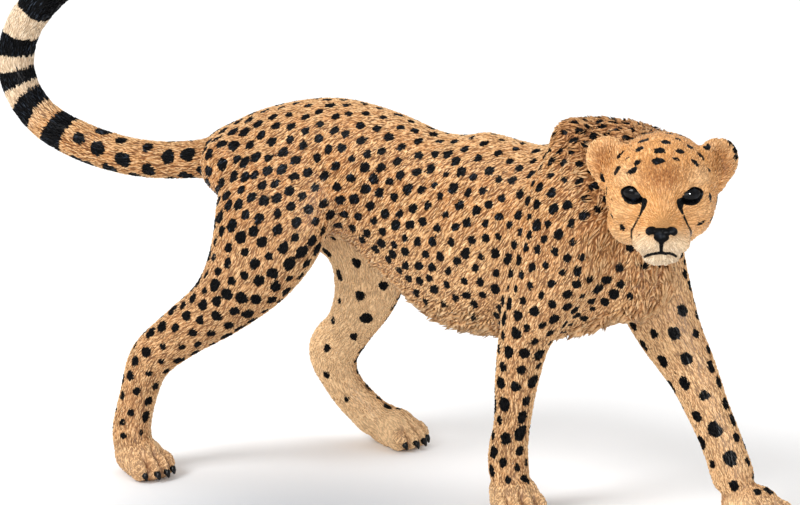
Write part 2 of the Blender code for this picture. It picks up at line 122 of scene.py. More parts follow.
def catmull_rom(rows: Rows, steps: int) -> Array:
    """Rows on a smooth curve through the given ones.

    Args:
        rows: The rows that the curve passes through.
        steps: How many steps each span is divided into.

    Returns:
        The rows of the finer curve.
    """
    given = np.array(rows, float)
    padded = np.vstack([2 * given[0] - given[1], given, 2 * given[-1] - given[-2]])
    curve = []
    for first in range(len(given) - 1):
        before, start, end, after = padded[first : first + 4]
        for step in range(steps):
            t = step / steps
            bend = (2 * before - 5 * start + 4 * end - after) * t**2
            twist = (3 * start - before - 3 * end + after) * t**3
            curve.append(0.5 * (2 * start + (end - before) * t + bend + twist))
    return np.array([*curve, given[-1]])


def rotation(degrees: float, axis: str) -> Matrix:
    """A turn about the axis X, Y or Z."""
    return Matrix.Rotation(math.radians(degrees), 4, axis)


@dataclass(frozen=True)
class Loft:
    """A tube through elliptical sections: their middles, half their depth and half their width."""

    sections: Rows
    across: Place = (0.0, 1.0, 0.0)
    corners: int = 32
    steps: int = 8
    dome_angles: tuple[float, ...] = (30.0, 55.0, 75.0)
    dome_bulge: float = 0.75

    def rows(self) -> Array:
        """The sections of the whole tube, with shrinking ones that close it in a dome at each end."""
        rows = catmull_rom(self.sections, self.steps)
        ends = []
        for row, inner in ((rows[0], rows[1]), (rows[-1], rows[-2])):
            outward = unit(row[:3] - inner[:3])
            dome = []
            for angle in map(math.radians, self.dome_angles):
                shifted = row.copy()
                shifted[:3] += outward * self.dome_bulge * min(row[3:]) * math.sin(angle)
                shifted[3:] *= math.cos(angle)
                dome.append(shifted)
            ends.append(dome)
        return np.array([*ends[0][::-1], *rows, *ends[1]])

    def axes(self, rows: Array) -> tuple[Array, Array, Array]:
        """Forward, sideways and upward at each row of the tube."""
        ahead = np.vstack([rows[1:, :3], rows[-1:, :3]]) - np.vstack([rows[:1, :3], rows[:-1, :3]])
        forward = unit(ahead)
        wanted = np.array(self.across)
        side = unit(wanted - forward * (forward @ wanted)[:, None])
        return forward, side, np.cross(forward, side)

    def add_to(self, shape: bmesh.types.BMesh) -> None:
        """Adds the closed tube to the bmesh."""
        rows = self.rows()
        _, side, upward = self.axes(rows)
        angles = np.arange(self.corners) * 2 * math.pi / self.corners
        rings = []
        for row, across, up in zip(rows, side, upward):
            wide, high = np.cos(angles) * row[4], np.sin(angles) * row[3]
            places = row[:3] + np.outer(wide, across) + np.outer(high, up)
            rings.append([shape.verts.new(place) for place in places])
        join_rings(shape, rings)

    def straighten(self, points: Array) -> "Straightened":
        """Where points are along the tube and round it, as if it were straight.

        Args:
            points: Places in the body's axes.

        Returns:
            Their straightened places and the tube's direction beside each.
        """
        rows = catmull_rom(self.sections, self.steps)
        forward, side, upward = self.axes(rows)
        run = np.r_[0.0, np.cumsum(np.linalg.norm(np.diff(rows[:, :3], axis=0), axis=1))]
        near = np.empty(len(points), int)
        block = 20000
        for start in range(0, len(points), block):
            gaps = points[start : start + block, None, :] - rows[None, :, :3]
            near[start : start + block] = (gaps**2).sum(2).argmin(1)
        offset = points - rows[near, :3]
        along = run[near] + (offset * forward[near]).sum(1)
        across = (offset * side[near]).sum(1)
        up = (offset * upward[near]).sum(1)
        reach = np.sqrt((across / rows[near, 4]) ** 2 + (up / rows[near, 3]) ** 2)
        return Straightened(np.stack([along, across, up], 1), reach, forward[near], float(run[-1]))


@dataclass(frozen=True)
class Straightened:
    """Places beside a tube: along, across and up; how far out in radii; and the tube's direction there."""

    places: Array
    reach: Array
    forward: Array
    length: float

    def angle(self) -> Array:
        """How far round the tube each place is, in radians from straight up."""
        return np.arctan2(self.places[:, 1], self.places[:, 2])


@dataclass(frozen=True)
class Rounding:
    """A rounded form: its middle, its half sizes and a tilt of its front downwards in degrees."""

    middle: Place
    half: Place
    tilt: float = 0.0

    def add_to(self, shape: bmesh.types.BMesh, axes: Matrix, side: float = 1.0) -> None:
        """Adds the form to the bmesh.

        Args:
            shape: The bmesh that takes it.
            axes: The axes in which it is placed.
            side: -1 to mirror it across the middle plane.
        """
        x, y, z = self.middle
        placed = axes @ Matrix.Translation((x, y * side, z)) @ rotation(self.tilt, "Y")
        matrix = placed @ Matrix.Diagonal((*self.half, 1.0))
        bmesh.ops.create_uvsphere(shape, u_segments=32, v_segments=18, radius=1.0, matrix=matrix)

    def reach(self, places: Array) -> Array:
        """How far out places are from its middle, in its half sizes."""
        return np.linalg.norm((places - np.array(self.middle)) / np.array(self.half), axis=1)


def rows_of(vectors: Array, axes: Matrix) -> Array:
    """Body directions or offsets turned into the given axes."""
    return vectors @ np.array(axes.to_3x3().inverted()).T


def into(points: Array, axes: Matrix) -> Array:
    """Body places in the given axes."""
    return rows_of(points - np.array(axes.translation), axes)


def out_of(points: Array, axes: Matrix) -> Array:
    """Places of the given axes in the body's."""
    return points @ np.array(axes.to_3x3()).T + np.array(axes.translation)


def forward_of(axes: Matrix) -> Array:
    """The forward direction of the given axes in the body's."""
    return np.array(axes.to_3x3().col[0])


@dataclass(frozen=True)
class Dent:
    """A soft dent: its middle, how far it reaches each way, and how far it moves a point at its middle."""

    middle: Place
    spread: Place
    push: Place

    def press(self, points: Array, axes: Matrix, side: float = 1.0) -> None:
        """Moves the points near the dent.

        Args:
            points: Body places, which are changed.
            axes: The axes in which the dent is placed.
            side: -1 to mirror it across the middle plane.
        """
        mirror = np.array([1.0, side, 1.0])
        near = ((into(points, axes) - self.middle * mirror) / np.array(self.spread)) ** 2
        points += np.exp(-near.sum(1))[:, None] * (np.array(axes.to_3x3()) @ (self.push * mirror))


@dataclass(frozen=True)
class Leg:
    """A leg and its paw."""

    name: str
    sections: Rows
    paw: Pair
    heading: float
    scale: float
    hip: float  # length along it over which its coat turns from the trunk's lie to its own
    pale: float  # how pale its inner side is

    @property
    def side(self) -> float:
        """1 for a left leg and -1 for a right one."""
        return math.copysign(1.0, self.paw[1])

    def loft(self) -> Loft:
        """The leg's tube."""
        return Loft(self.sections)

    def paw_axes(self) -> Matrix:
        """Forward along the toes, to the paw's left and up from the floor."""
        return Matrix.Translation((*self.paw, 0.0)) @ rotation(self.heading, "Z") @ Matrix.Scale(self.scale, 4)


TRUNK = Loft(
    (
        (-18.0, 0.0, 35.3, 4.4, 4.2),
        (-12.0, 0.0, 36.0, 6.45, 5.8),
        (-5.0, 0.0, 36.2, 7.9, 6.2),
        (1.0, 0.0, 35.3, 8.2, 5.8),
        (6.5, 0.0, 32.7, 9.5, 5.5),
        (12.5, 0.0, 30.8, 11.5, 6.1),
        (21.0, 0.0, 30.4, 10.9, 6.7),
        (27.5, 0.0, 31.6, 10.25, 6.2),
        (33.0, 0.0, 32.2, 8.2, 5.2),
    )
)
NECK = Loft(
    (
        (26.0, 0.0, 36.9, 8.0, 5.0),
        (30.5, 0.0, 37.4, 7.7, 5.2),
        (35.0, -1.2, 37.9, 7.1, 5.2),
        (38.0, -4.6, 38.6, 6.1, 5.0),
    )
)
TAIL = Loft(
    (
        (-17.0, 0.0, 36.4, 3.0, 2.9),
        (-22.0, 0.0, 35.2, 2.35, 2.35),
        (-30.0, 0.0, 34.4, 2.3, 2.3),
        (-38.0, 0.0, 35.5, 2.35, 2.35),
        (-44.3, 0.0, 38.2, 2.25, 2.25),
        (-47.4, 0.0, 43.1, 2.25, 2.25),
        (-46.3, 0.0, 48.4, 2.25, 2.25),
        (-42.6, 0.0, 52.7, 2.2, 2.2),
        (-38.2, 0.0, 55.6, 1.9, 1.9),
    )
)
LEGS = (
    Leg(
        "hindleg_right",
        (
            (-9.6, -3.6, 36.4, 7.4, 3.6),
            (-9.1, -6.3, 30.8, 7.2, 3.9),
            (-10.8, -7.7, 25.7, 5.7, 3.6),
            (-14.4, -8.5, 20.9, 3.9, 3.1),
            (-19.2, -9.2, 17.1, 3.1, 2.55),
            (-23.1, -9.8, 13.6, 2.75, 2.35),
            (-24.5, -10.3, 9.6, 2.35, 2.1),
            (-25.3, -10.8, 5.4, 2.4, 2.2),
            (-25.0, -11.0, 2.8, 2.5, 2.3),
        ),
        paw=(-23.8, -11.2),
        heading=-20.0,
        scale=1.1,
        hip=12.0,
        pale=1.0,
    ),
    Leg(
        "hindleg_left",
        (
            (-8.4, 3.6, 36.2, 7.4, 3.6),
            (-6.4, 6.3, 30.2, 7.1, 3.9),
            (-4.4, 7.9, 24.6, 5.5, 3.6),
            (-5.4, 9.0, 19.2, 4.1, 3.1),
            (-7.9, 9.8, 14.7, 3.05, 2.5),
            (-10.5, 10.4, 11.2, 3.3, 2.4),
            (-9.9, 11.0, 7.7, 2.4, 2.2),
            (-8.1, 11.8, 5.0, 2.35, 2.25),
            (-5.8, 12.4, 2.8, 2.5, 2.3),
        ),
        paw=(-3.5, 12.8),
        heading=-12.0,
        scale=1.1,
        hip=12.0,
        pale=1.0,
    ),
    Leg(
        "foreleg_right",
        (
            (27.0, -3.2, 42.4, 2.6, 1.9),
            (27.2, -4.6, 37.6, 5.0, 2.9),
            (27.0, -5.2, 32.0, 5.5, 3.3),
            (24.4, -5.5, 26.0, 4.3, 3.0),
            (22.2, -5.3, 20.8, 3.1, 2.7),
            (21.0, -4.9, 15.4, 2.55, 2.35),
            (20.4, -4.6, 10.6, 2.15, 2.2),
            (19.8, -4.4, 7.2, 2.35, 2.3),
            (20.0, -4.4, 4.4, 2.4, 2.45),
        ),
        paw=(20.9, -4.9),
        heading=-46.0,
        scale=1.2,
        hip=15.0,
        pale=0.4,
    ),
    Leg(
        "foreleg_left",
        (
            (24.8, 3.4, 41.6, 2.6, 1.9),
            (27.6, 4.6, 37.0, 5.0, 2.9),
            (30.0, 5.2, 31.4, 5.6, 3.3),
            (32.3, 5.5, 25.4, 4.8, 3.1),
            (34.6, 5.3, 20.8, 4.0, 2.7),
            (37.5, 5.0, 16.6, 3.15, 2.45),
            (39.7, 4.8, 12.5, 2.6, 2.3),
            (41.7, 4.6, 8.6, 2.45, 2.35),
            (43.2, 4.4, 5.0, 2.55, 2.45),
        ),
        paw=(45.9, 4.0),
        heading=-14.0,
        scale=1.2,
        hip=15.0,
        pale=0.4,
    ),
)
MUSCLES = (
    Rounding((26.2, -2.8, 42.3), (2.5, 1.9, 3.1)),
    Rounding((24.4, 2.8, 41.2), (2.9, 1.9, 2.6)),
    Rounding((-16.0, -3.6, 35.6), (3.9, 2.8, 3.8)),
    Rounding((-16.0, 3.6, 35.6), (3.9, 2.8, 3.8)),
    Rounding((32.5, 0.0, 27.0), (5.0, 4.6, 4.2), -20.0),
)


@dataclass(frozen=True)
class Paw:
    """The heel, pad, toes and claws that every paw has, in its own axes."""

    heel: Rounding = Rounding((-1.4, 0.0, 2.0), (2.1, 2.05, 2.3))
    pad: Rounding = Rounding((0.1, 0.0, 1.8), (2.6, 2.45, 2.3))
    toe_half: Place = (1.5, 0.78, 1.45)
    toe_pitch: float = 1.22
    toe_reach: Pair = (2.35, 1.75)
    toe_height: float = 1.3
    clefts: Place = (-1.0, 0.0, 1.0)  # the gaps between the toes, in pitches
    claw_reach: float = 1.17
    claw_lift: float = -0.4

    def toes(self) -> list[Place]:
        """The middles of the four toes."""
        inner, outer = self.toe_reach
        reach = (outer, inner, inner, outer)
        return [(reach[toe], (toe - 1.5) * self.toe_pitch, self.toe_height) for toe in range(4)]

    def add_to(self, shape: bmesh.types.BMesh, axes: Matrix) -> None:
        """Adds the paw to the bmesh."""
        for form in (self.heel, self.pad, *(Rounding(toe, self.toe_half) for toe in self.toes())):
            form.add_to(shape, axes)

    def part_toes(self, points: Array, axes: Matrix) -> None:
        """Presses the clefts between the toes deeper."""
        for gap in self.clefts:
            cleft = Dent((2.9, gap * self.toe_pitch, 1.7), (2.0, 0.3, 1.8), (-0.45, 0.0, -0.6))
            cleft.press(points, axes)


PAW = Paw()


@dataclass(frozen=True)
class Head:
    """The head's place, forms and features in its own axes: forward along the nose, to its left, and up."""

    place: Place = (39.3, -8.0, 39.7)
    turn: float = -66.0
    nod: float = -1.0
    sections: Rows = (
        (-6.0, 0.4, 3.9, 4.0),
        (-4.2, 0.4, 5.2, 5.2),
        (-1.8, 0.2, 5.9, 5.8),
        (0.6, 0.0, 6.1, 6.0),
        (3.0, -0.5, 5.6, 5.7),
        (4.4, -0.9, 4.9, 5.2),
        (5.4, -1.8, 3.8, 4.2),
        (6.4, -2.7, 2.9, 3.3),
        (7.5, -3.1, 2.45, 2.8),
        (8.3, -3.4, 2.0, 2.2),
    )
    middle_forms: tuple[Rounding, ...] = (
        Rounding((6.8, 0.0, 0.1), (3.0, 1.4, 1.1), 40.0),
        Rounding((8.3, 0.0, -2.0), (1.3, 1.5, 1.1)),
        Rounding((6.9, 0.0, -5.2), (1.8, 2.2, 1.25), -6.0),
        Rounding((1.2, -2.9, -3.0), (4.2, 2.9, 2.6)),
    )
    side_forms: tuple[Rounding, ...] = (
        Rounding((1.6, 2.6, -1.8), (4.2, 2.9, 3.0)),
        Rounding((4.6, 3.0, 2.1), (1.6, 2.0, 1.3), 20.0),
        Rounding((3.9, 3.8, -1.2), (2.2, 1.8, 1.6)),
        Rounding((-0.6, 4.4, 2.4), (1.7, 2.3, 2.5)),
        Rounding((7.4, 1.45, -3.5), (1.9, 1.75, 1.55), 4.0),
    )
    solid_eye: Place = (5.45, 2.95, 0.95)
    eye: Place = (5.55, 2.85, 1.05)
    eye_half: Place = (0.9, 1.3, 0.92)
    eye_facing: float = 24.0
    nose: Place = (8.95, 0.0, -2.2)
    ear: Place = (-1.2, 5.4, 2.7)
    ear_half: Place = (1.05, 2.85, 3.0)
    ear_spread: float = 24.0
    ear_lean: float = 26.0
    ear_hollow: Dent = Dent((1.05, 0.0, 0.3), (0.8, 1.5, 1.8), (-1.15, 0.0, 0.0))
    ear_root: Rounding = Rounding((0.0, 0.0, -1.7), (0.95, 2.75, 2.6))
    # On each side the socket, the hollow beside the nose and the one below the eye.
    dents: tuple[Dent, ...] = (
        Dent((6.4, 3.0, 1.0), (2.4, 1.7, 1.15), (-0.85, 0.0, 0.0)),
        Dent((6.8, 2.0, 0.6), (1.6, 0.8, 1.1), (-0.55, 0.0, 0.0)),
        Dent((6.8, 2.9, -1.6), (1.4, 1.0, 1.2), (-0.35, -0.1, 0.0)),
    )
    hair_source: Place = (8.6, 0.0, -1.6)  # where the face's hair starts from
    lip_depth: float = 0.32
    lip_width: float = 0.2
    skull: Rounding = Rounding((1.6, 0.0, -0.1), (8.4, 6.7, 6.6))
    chin: Rounding = Rounding((6.6, 0.0, -4.6), (3.4, 3.4, 2.7))

    def axes(self) -> Matrix:
        """The head's axes in the body's."""
        return Matrix.Translation(self.place) @ rotation(self.turn, "Z") @ rotation(-self.nod, "Y")

    def axes_at(self, place: Place, side: float) -> Matrix:
        """The head's axes moved to a place, mirrored for a side of -1."""
        x, y, z = place
        return self.axes() @ Matrix.Translation((x, y * side, z))

    def eye_axes(self, side: float) -> Matrix:
        """The axes of an eye: out of it, across it and up."""
        return self.axes_at(self.eye, side) @ rotation(self.eye_facing * side, "Z")

    def ear_axes(self, side: float) -> Matrix:
        """The axes of an ear: forward out of its hollow, across, and to its tip."""
        lean, spread = rotation(-self.ear_lean * side, "X"), rotation(self.ear_spread * side, "Z")
        return self.axes_at(self.ear, side) @ lean @ spread

    def ear_places(self, points: Array, side: float) -> Array:
        """Body places in the axes of an ear, in its half sizes."""
        return into(points, self.ear_axes(side)) / np.array(self.ear_half)

    def add_to(self, shape: bmesh.types.BMesh) -> None:
        """Adds the head and its ears to the bmesh."""
        axes = self.axes()
        rows = [(*(axes @ Vector((ahead, 0.0, up))), high, wide) for ahead, up, high, wide in self.sections]
        Loft(tuple(rows), tuple(axes.to_3x3() @ Vector((0.0, 1.0, 0.0)))).add_to(shape)
        for form in self.middle_forms:
            form.add_to(shape, axes)
        for side in SIDES:
            for form in self.side_forms:
                form.add_to(shape, axes, side)
            Rounding((0.0, 0.0, 0.0), self.ear_half).add_to(shape, self.ear_axes(side))
            self.ear_root.add_to(shape, self.ear_axes(side))

    def sculpt(self, points: Array) -> None:
        """Presses the sockets, the ears' hollows, the lids and the lips into the head."""
        for side in SIDES:
            for dent in self.dents:
                dent.press(points, self.axes(), side)
            self.ear_hollow.press(points, self.ear_axes(side))
            self.raise_lids(points, side)
        self.groove(points)

    def raise_lids(self, points: Array, side: float) -> None:
        """Raises the rims of the eyelids round an eye and sinks what is inside them."""
        local = into(points, self.eye_axes(side))
        near = (np.abs(local[:, 0]) < 2.5) & (np.hypot(local[:, 1], local[:, 2]) < 3.0)
        spread = EYE_OUTLINE.distance(local[near][:, 1] * side, local[near][:, 2])
        lid = EYE_OUTLINE.lid_high * bell(spread - EYE_OUTLINE.lid_out, EYE_OUTLINE.lid_wide)
        sunk = EYE_OUTLINE.sunk * smooth_step(-spread, -0.02, 0.3)
        points[near] += (lid - sunk)[:, None] * forward_of(self.eye_axes(side))

    def groove(self, points: Array) -> None:
        """Sinks the line between the lips and the one below the nose."""
        local = into(points, self.axes())
        near = (local[:, 0] > 6.0) & (local[:, 2] < -2.4)
        spread = LIP_LINE.distance(local[near][:, 1], local[near][:, 2])
        sunk = self.lip_depth * bell(spread, self.lip_width)
        points[near] -= sunk[:, None] * forward_of(self.axes())


@dataclass(frozen=True)
class Almond:
    """An eye's opening: half its width and height, its tilt and the dip of its inner corner."""

    wide: float = 1.27
    high: float = 0.86
    tilt: float = 8.0
    dip: float = 0.28
    rim: float = 0.08  # the width of the black paint round it
    lid_out: float = 0.12  # how far outside it the lid is highest
    lid_wide: float = 0.17
    lid_high: float = 0.2
    sunk: float = 0.5  # how deep the skin lies inside it

    def distance(self, across: Array, up: Array) -> Array:
        """How far outside the outline places are, negative inside; across grows away from the nose."""
        turn = math.radians(self.tilt)
        x = across * math.cos(turn) + up * math.sin(turn)
        y = -across * math.sin(turn) + up * math.cos(turn)
        inner = np.clip(-x / self.wide, 0.0, 1.5)
        y = y + self.dip * inner**2
        high = self.high * (1.0 - 0.25 * np.clip(np.abs(x) / self.wide, 0.0, 1.0) ** 2)
        ratio = np.sqrt((x / self.wide) ** 2 + (y / high) ** 2)
        return (ratio - 1.0) * 0.5 * (self.wide + self.high)


@dataclass(frozen=True)
class Strokes:
    """Painted lines on the face, each a run of (across, up, half width) that is mirrored if asked."""

    lines: tuple[Rows, ...]
    mirrored: bool = False

    def distance(self, across: Array, up: Array) -> Array:
        """How far places lie outside the lines, negative inside."""
        x = np.abs(across) if self.mirrored else across
        found = np.full(len(x), FAR)
        for line in self.lines:
            for (x0, y0, w0), (x1, y1, w1) in zip(line, line[1:]):
                run_x, run_y = x1 - x0, y1 - y0
                t = ((x - x0) * run_x + (up - y0) * run_y) / (run_x**2 + run_y**2)
                t = np.clip(t, 0.0, 1.0)
                gap = np.hypot(x - x0 - t * run_x, up - y0 - t * run_y) - (w0 + (w1 - w0) * t)
                found = np.minimum(found, gap)
        return found


EYE_OUTLINE = Almond()
LIP_LINE = Strokes(
    (
        ((0.0, -2.9, 0.24), (0.0, -4.4, 0.17)),
        ((0.0, -4.38, 0.2), (0.75, -4.55, 0.21), (1.3, -4.87, 0.19), (1.75, -5.27, 0.12)),
    ),
    mirrored=True,
)
TEAR_LINE = Strokes(
    (
        (
            (1.8, 0.6, 0.32),
            (1.85, 0.15, 0.24),
            (2.1, -0.5, 0.13),
            (2.65, -1.8, 0.09),
            (3.07, -2.7, 0.09),
            (3.1, -3.5, 0.09),
            (3.05, -4.1, 0.08),
            (2.9, -4.6, 0.05),
        ),
    ),
    mirrored=True,
)
HEAD = Head()


def linked(name: str, data: bpy.types.ID) -> bpy.types.Object:
    """A new object in the scene with the given mesh, light or lens."""
    made = bpy.data.objects.new(name, data)
    bpy.context.scene.collection.objects.link(made)
    return made


def new_object(name: str, shape: bmesh.types.BMesh) -> bpy.types.Object:
    """An object in the scene that holds the bmesh's faces, which are freed."""
    mesh = bpy.data.meshes.new(name)
    shape.to_mesh(mesh)
    shape.free()
    return linked(name, mesh)


def apply_modifiers(thing: bpy.types.Object) -> None:
    """Replaces the object's mesh by what its modifiers make of it."""
    bpy.context.view_layer.update()
    evaluated = thing.evaluated_get(bpy.context.evaluated_depsgraph_get())
    mesh = bpy.data.meshes.new_from_object(evaluated)
    old = thing.data
    thing.modifiers.clear()
    thing.data = mesh
    bpy.data.meshes.remove(old)


def fuse(thing: bpy.types.Object, voxel: float, easing: int) -> None:
    """Fuses overlapping closed forms into one skin on a grid, and eases its creases.

    Args:
        thing: The object, whose mesh is replaced.
        voxel: The grid's pitch.
        easing: Rounds of smoothing.
    """
    remesh = thing.modifiers.new("fuse", "REMESH")
    remesh.mode = "VOXEL"
    remesh.voxel_size = voxel
    ease = thing.modifiers.new("ease", "SMOOTH")
    ease.factor = 0.5
    ease.iterations = easing
    apply_modifiers(thing)


def read_vectors(items: bpy.types.bpy_prop_collection, name: str) -> Array:
    """One row of three numbers for each item of a mesh."""
    found = np.empty(len(items) * 3, np.float32)
    items.foreach_get(name, found)
    return found.reshape(-1, 3).astype(float)


def write_places(mesh: bpy.types.Mesh, points: Array) -> None:
    """Puts a mesh's vertices at the given places."""
    mesh.vertices.foreach_set("co", points.astype(np.float32).ravel())
    mesh.update()


def frame_shift() -> Array:
    """What is taken from a body place to put it into the frame, found at the left eye's solid."""
    low, high = np.array(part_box("eye_left"))
    wanted = HEAD.axes() @ Vector(HEAD.solid_eye)
    return np.array(wanted) - (low + high) / 2 / MM


SHIFT = frame_shift()


def set_in_frame(thing: bpy.types.Object) -> None:
    """Moves an object's mesh from millimetres of the body into the frame."""
    write_places(thing.data, (read_vectors(thing.data.vertices, "co") - SHIFT) * MM)


# Millimetres by which the straightened places of the limbs lie apart, so that their engraving differs.
LEG_GAP = 30.0
TAIL_GAP = 170.0
HEAD_GAP = 220.0
# The radius that the whole head is given where its hair is straightened.
HEAD_RADIUS = 6.5


@dataclass
class Lay:
    """How the coat lies at a set of places: its direction and its regions, one row for each place."""

    points: Array
    normals: Array
    direction: Array = field(init=False)
    limb_share: Array = field(init=False)
    limb_places: Array = field(init=False)
    tail: Straightened = field(init=False)
    legs: dict[str, Straightened] = field(init=False)
    head_places: Array = field(init=False)
    head_share: Array = field(init=False)
    mane: Array = field(init=False)
    crest: Array = field(init=False)
    chest: Array = field(init=False)
    belly: Array = field(init=False)
    paw: Array = field(init=False)
    tail_share: Array = field(init=False)
    leg_share: Array = field(init=False)
    inner: Array = field(init=False)
    ear: Array = field(init=False)

    def __post_init__(self) -> None:
        """Finds every region's share at each place, then the way its hair points."""
        self.limb_share = np.zeros(len(self.points))
        self.limb_places = np.zeros((len(self.points), 3))
        self.find_head()
        self.tail = TAIL.straighten(self.points)
        behind = smooth_step(self.points[:, 0], -17.5, -20.5)
        self.tail_share = behind * smooth_step(self.tail.reach, 1.8, 1.5)
        flow = self.along_legs(self.along_trunk())
        flow = self.blend(flow, self.tail.forward, self.tail_share)
        self.claim(self.tail_share, self.tail.places + np.array([0.0, TAIL_GAP, 0.0]))
        flow = self.round_face(self.down_neck(flow))
        flow -= self.normals * (flow * self.normals).sum(1)[:, None]
        self.direction = unit(flow)

    def find_head(self) -> None:
        """Finds the shares of the head and of the ears."""
        self.head_places = into(self.points, HEAD.axes())
        ahead, left, up = self.head_places.T
        share = smooth_step(ahead, -5.5, -3.5) * smooth_step(HEAD.skull.reach(self.head_places), 1.16, 1.06)
        share = np.maximum(share, smooth_step(HEAD.chin.reach(self.head_places), 1.15, 1.0))
        self.ear = np.zeros(len(self.points))
        for side in SIDES:
            reach = np.linalg.norm(HEAD.ear_places(self.points, side) * (0.6, 1.0, 1.0), axis=1)
            self.ear = np.maximum(self.ear, smooth_step(reach, 1.35, 1.1))
        self.ear *= smooth_step(np.abs(left) + 0.5 * up, 6.2, 7.2)
        self.head_share = np.maximum(share, smooth_step(self.ear, 0.0, 0.4))

    def slope(self) -> Array:
        """How far the trunk's hair has turned down, from 0 on its back to 1 on its sides."""
        return np.abs(self.normals[:, 1]) ** 0.7

    def along_trunk(self) -> Array:
        """The way the trunk's hair points: backwards, and down its sides and its front."""
        turned = np.radians(52.0) * self.slope()
        flow = np.stack([-np.cos(turned), np.zeros(len(turned)), -np.sin(turned)], 1)
        front = smooth_step(self.normals[:, 0], 0.1, 0.6) * smooth_step(self.points[:, 0], 28.0, 32.0)
        return self.blend(flow, DOWN, front)

    def along_legs(self, flow: Array) -> Array:
        """Turns the hair down the legs and over the toes, and finds the shares of both."""
        _, y, z = self.points.T
        self.leg_share, self.inner, self.paw = np.zeros((3, len(y)))
        self.legs = {}
        for order, leg in enumerate(LEGS):
            found = leg.loft().straighten(self.points)
            self.legs[leg.name] = found
            share = smooth_step(found.places[:, 0], leg.hip * 0.35, leg.hip)
            share *= smooth_step(found.reach, 1.75, 1.25)
            share *= smooth_step(y * leg.side, -0.6, 1.2)
            flow = self.blend(flow, found.forward, share)
            self.claim(share, found.places + np.array([0.0, LEG_GAP * (order + 1), 0.0]))
            self.leg_share = np.maximum(self.leg_share, share)
            inward = smooth_step(-self.normals[:, 1] * leg.side, -0.15, 0.35) * share * leg.pale
            self.inner = np.maximum(self.inner, inward)
            ahead, across, _ = into(self.points, leg.paw_axes()).T
            paw = smooth_step(z, 4.6, 3.2) * smooth_step(np.hypot(ahead, across), 6.5, 5.5)
            toes = unit(forward_of(leg.paw_axes()) / leg.scale + 0.35 * DOWN)
            flow = self.blend(flow, toes, paw * smooth_step(ahead, -1.0, 1.0))
            self.paw = np.maximum(self.paw, paw)
        return flow

    def down_neck(self, flow: Array) -> Array:
        """Turns the hair down the neck, and finds the shares of the long hair."""
        x, _, z = self.points.T
        front, left, top = self.normals.T
        neck = NECK.straighten(self.points)
        around = smooth_step(x, 23.0, 27.0) * smooth_step(neck.reach, 1.5, 1.2) * smooth_step(z, 30.0, 35.0)
        around *= 1.0 - self.head_share
        self.mane = around * smooth_step(z, 34.0, 39.0)
        self.crest = around * smooth_step(z, 40.0, 44.0)
        self.chest = smooth_step(x, 27.0, 31.0) * smooth_step(z, 37.0, 34.0) * smooth_step(z, 20.0, 23.0)
        self.chest *= smooth_step(front - 0.35 * np.abs(left), -0.25, 0.25) * (1.0 - self.leg_share)
        self.belly = smooth_step(-top, 0.25, 0.75) * smooth_step(z, 31.0, 27.0) * smooth_step(z, 15.0, 18.0)
        self.belly *= smooth_step(x, -9.0, -5.0) * (1.0 - smooth_step(self.leg_share, 0.2, 0.7))
        return self.blend(flow, unit(0.55 * DOWN - neck.forward), around * smooth_step(x, 27.0, 30.0))

    def round_face(self, flow: Array) -> Array:
        """Turns the hair of the head away from the nose, and fans it out over the ears."""
        away = out_of(self.head_places, HEAD.axes()) - np.array(HEAD.axes() @ Vector(HEAD.hair_source))
        flow = self.blend(flow, unit(away), self.head_share)
        for side in SIDES:
            axes = HEAD.ear_axes(side)
            fan = into(self.points, axes) * np.array([0.0, 1.0, 1.0]) - 2.6 * DOWN
            here = self.ear * (self.head_places[:, 1] * side > 0)
            flow = self.blend(flow, unit(fan @ np.array(axes.to_3x3()).T), here)
        _, left, up = unit(rows_of(away, HEAD.axes())).T * HEAD_RADIUS
        self.claim(self.head_share, np.stack([np.linalg.norm(away, axis=1), left + HEAD_GAP, up], 1))
        return flow

    def ease(self, edges: Array, rounds: int = 14) -> None:
        """Evens out the way the hair points, between vertices joined by edges."""
        for _ in range(rounds):
            total = self.direction.copy()
            np.add.at(total, edges[:, 0], self.direction[edges[:, 1]])
            np.add.at(total, edges[:, 1], self.direction[edges[:, 0]])
            total -= self.normals * (total * self.normals).sum(1)[:, None]
            self.direction = unit(total)

    def sampled(self, corners: Array, weights: Array) -> "Lay":
        """The lay at places inside triangles of the points, from the weights of their corners."""

        def mixed(values: Array) -> Array:
            """Values inside the triangles."""
            if values.ndim == 1:
                return (values[corners] * weights).sum(1)
            return (values[corners] * weights[:, :, None]).sum(1)

        def between(tube: Straightened) -> Straightened:
            """Straightened places inside the triangles."""
            return Straightened(mixed(tube.places), mixed(tube.reach), unit(mixed(tube.forward)), tube.length)

        made = copy(self)
        for key, value in vars(self).items():
            if isinstance(value, Array):
                setattr(made, key, mixed(value))
        made.normals, made.direction = unit(made.normals), unit(made.direction)
        made.tail = between(self.tail)
        made.legs = {name: between(tube) for name, tube in self.legs.items()}
        return made

    @staticmethod
    def blend(flow: Array, other: Array, share: Array) -> Array:
        """The flow turned towards the other by its share."""
        return unit(flow * (1.0 - share)[:, None] + other * share[:, None])

    def claim(self, share: Array, places: Array) -> None:
        """Gives the straightened places of a limb to the points where its share is the largest."""
        larger = share > self.limb_share
        self.limb_places[larger] = places[larger]
        self.limb_share = np.maximum(self.limb_share, share)


# The usual distance between spots, half their size, how much it varies, and how long they are at most.
SPOT_PITCH = 1.5
SPOT_HALF = 0.56
SPOT_UNEVEN = 0.14
SPOT_STRETCH = 1.28
FACE_STRETCH = 1.35


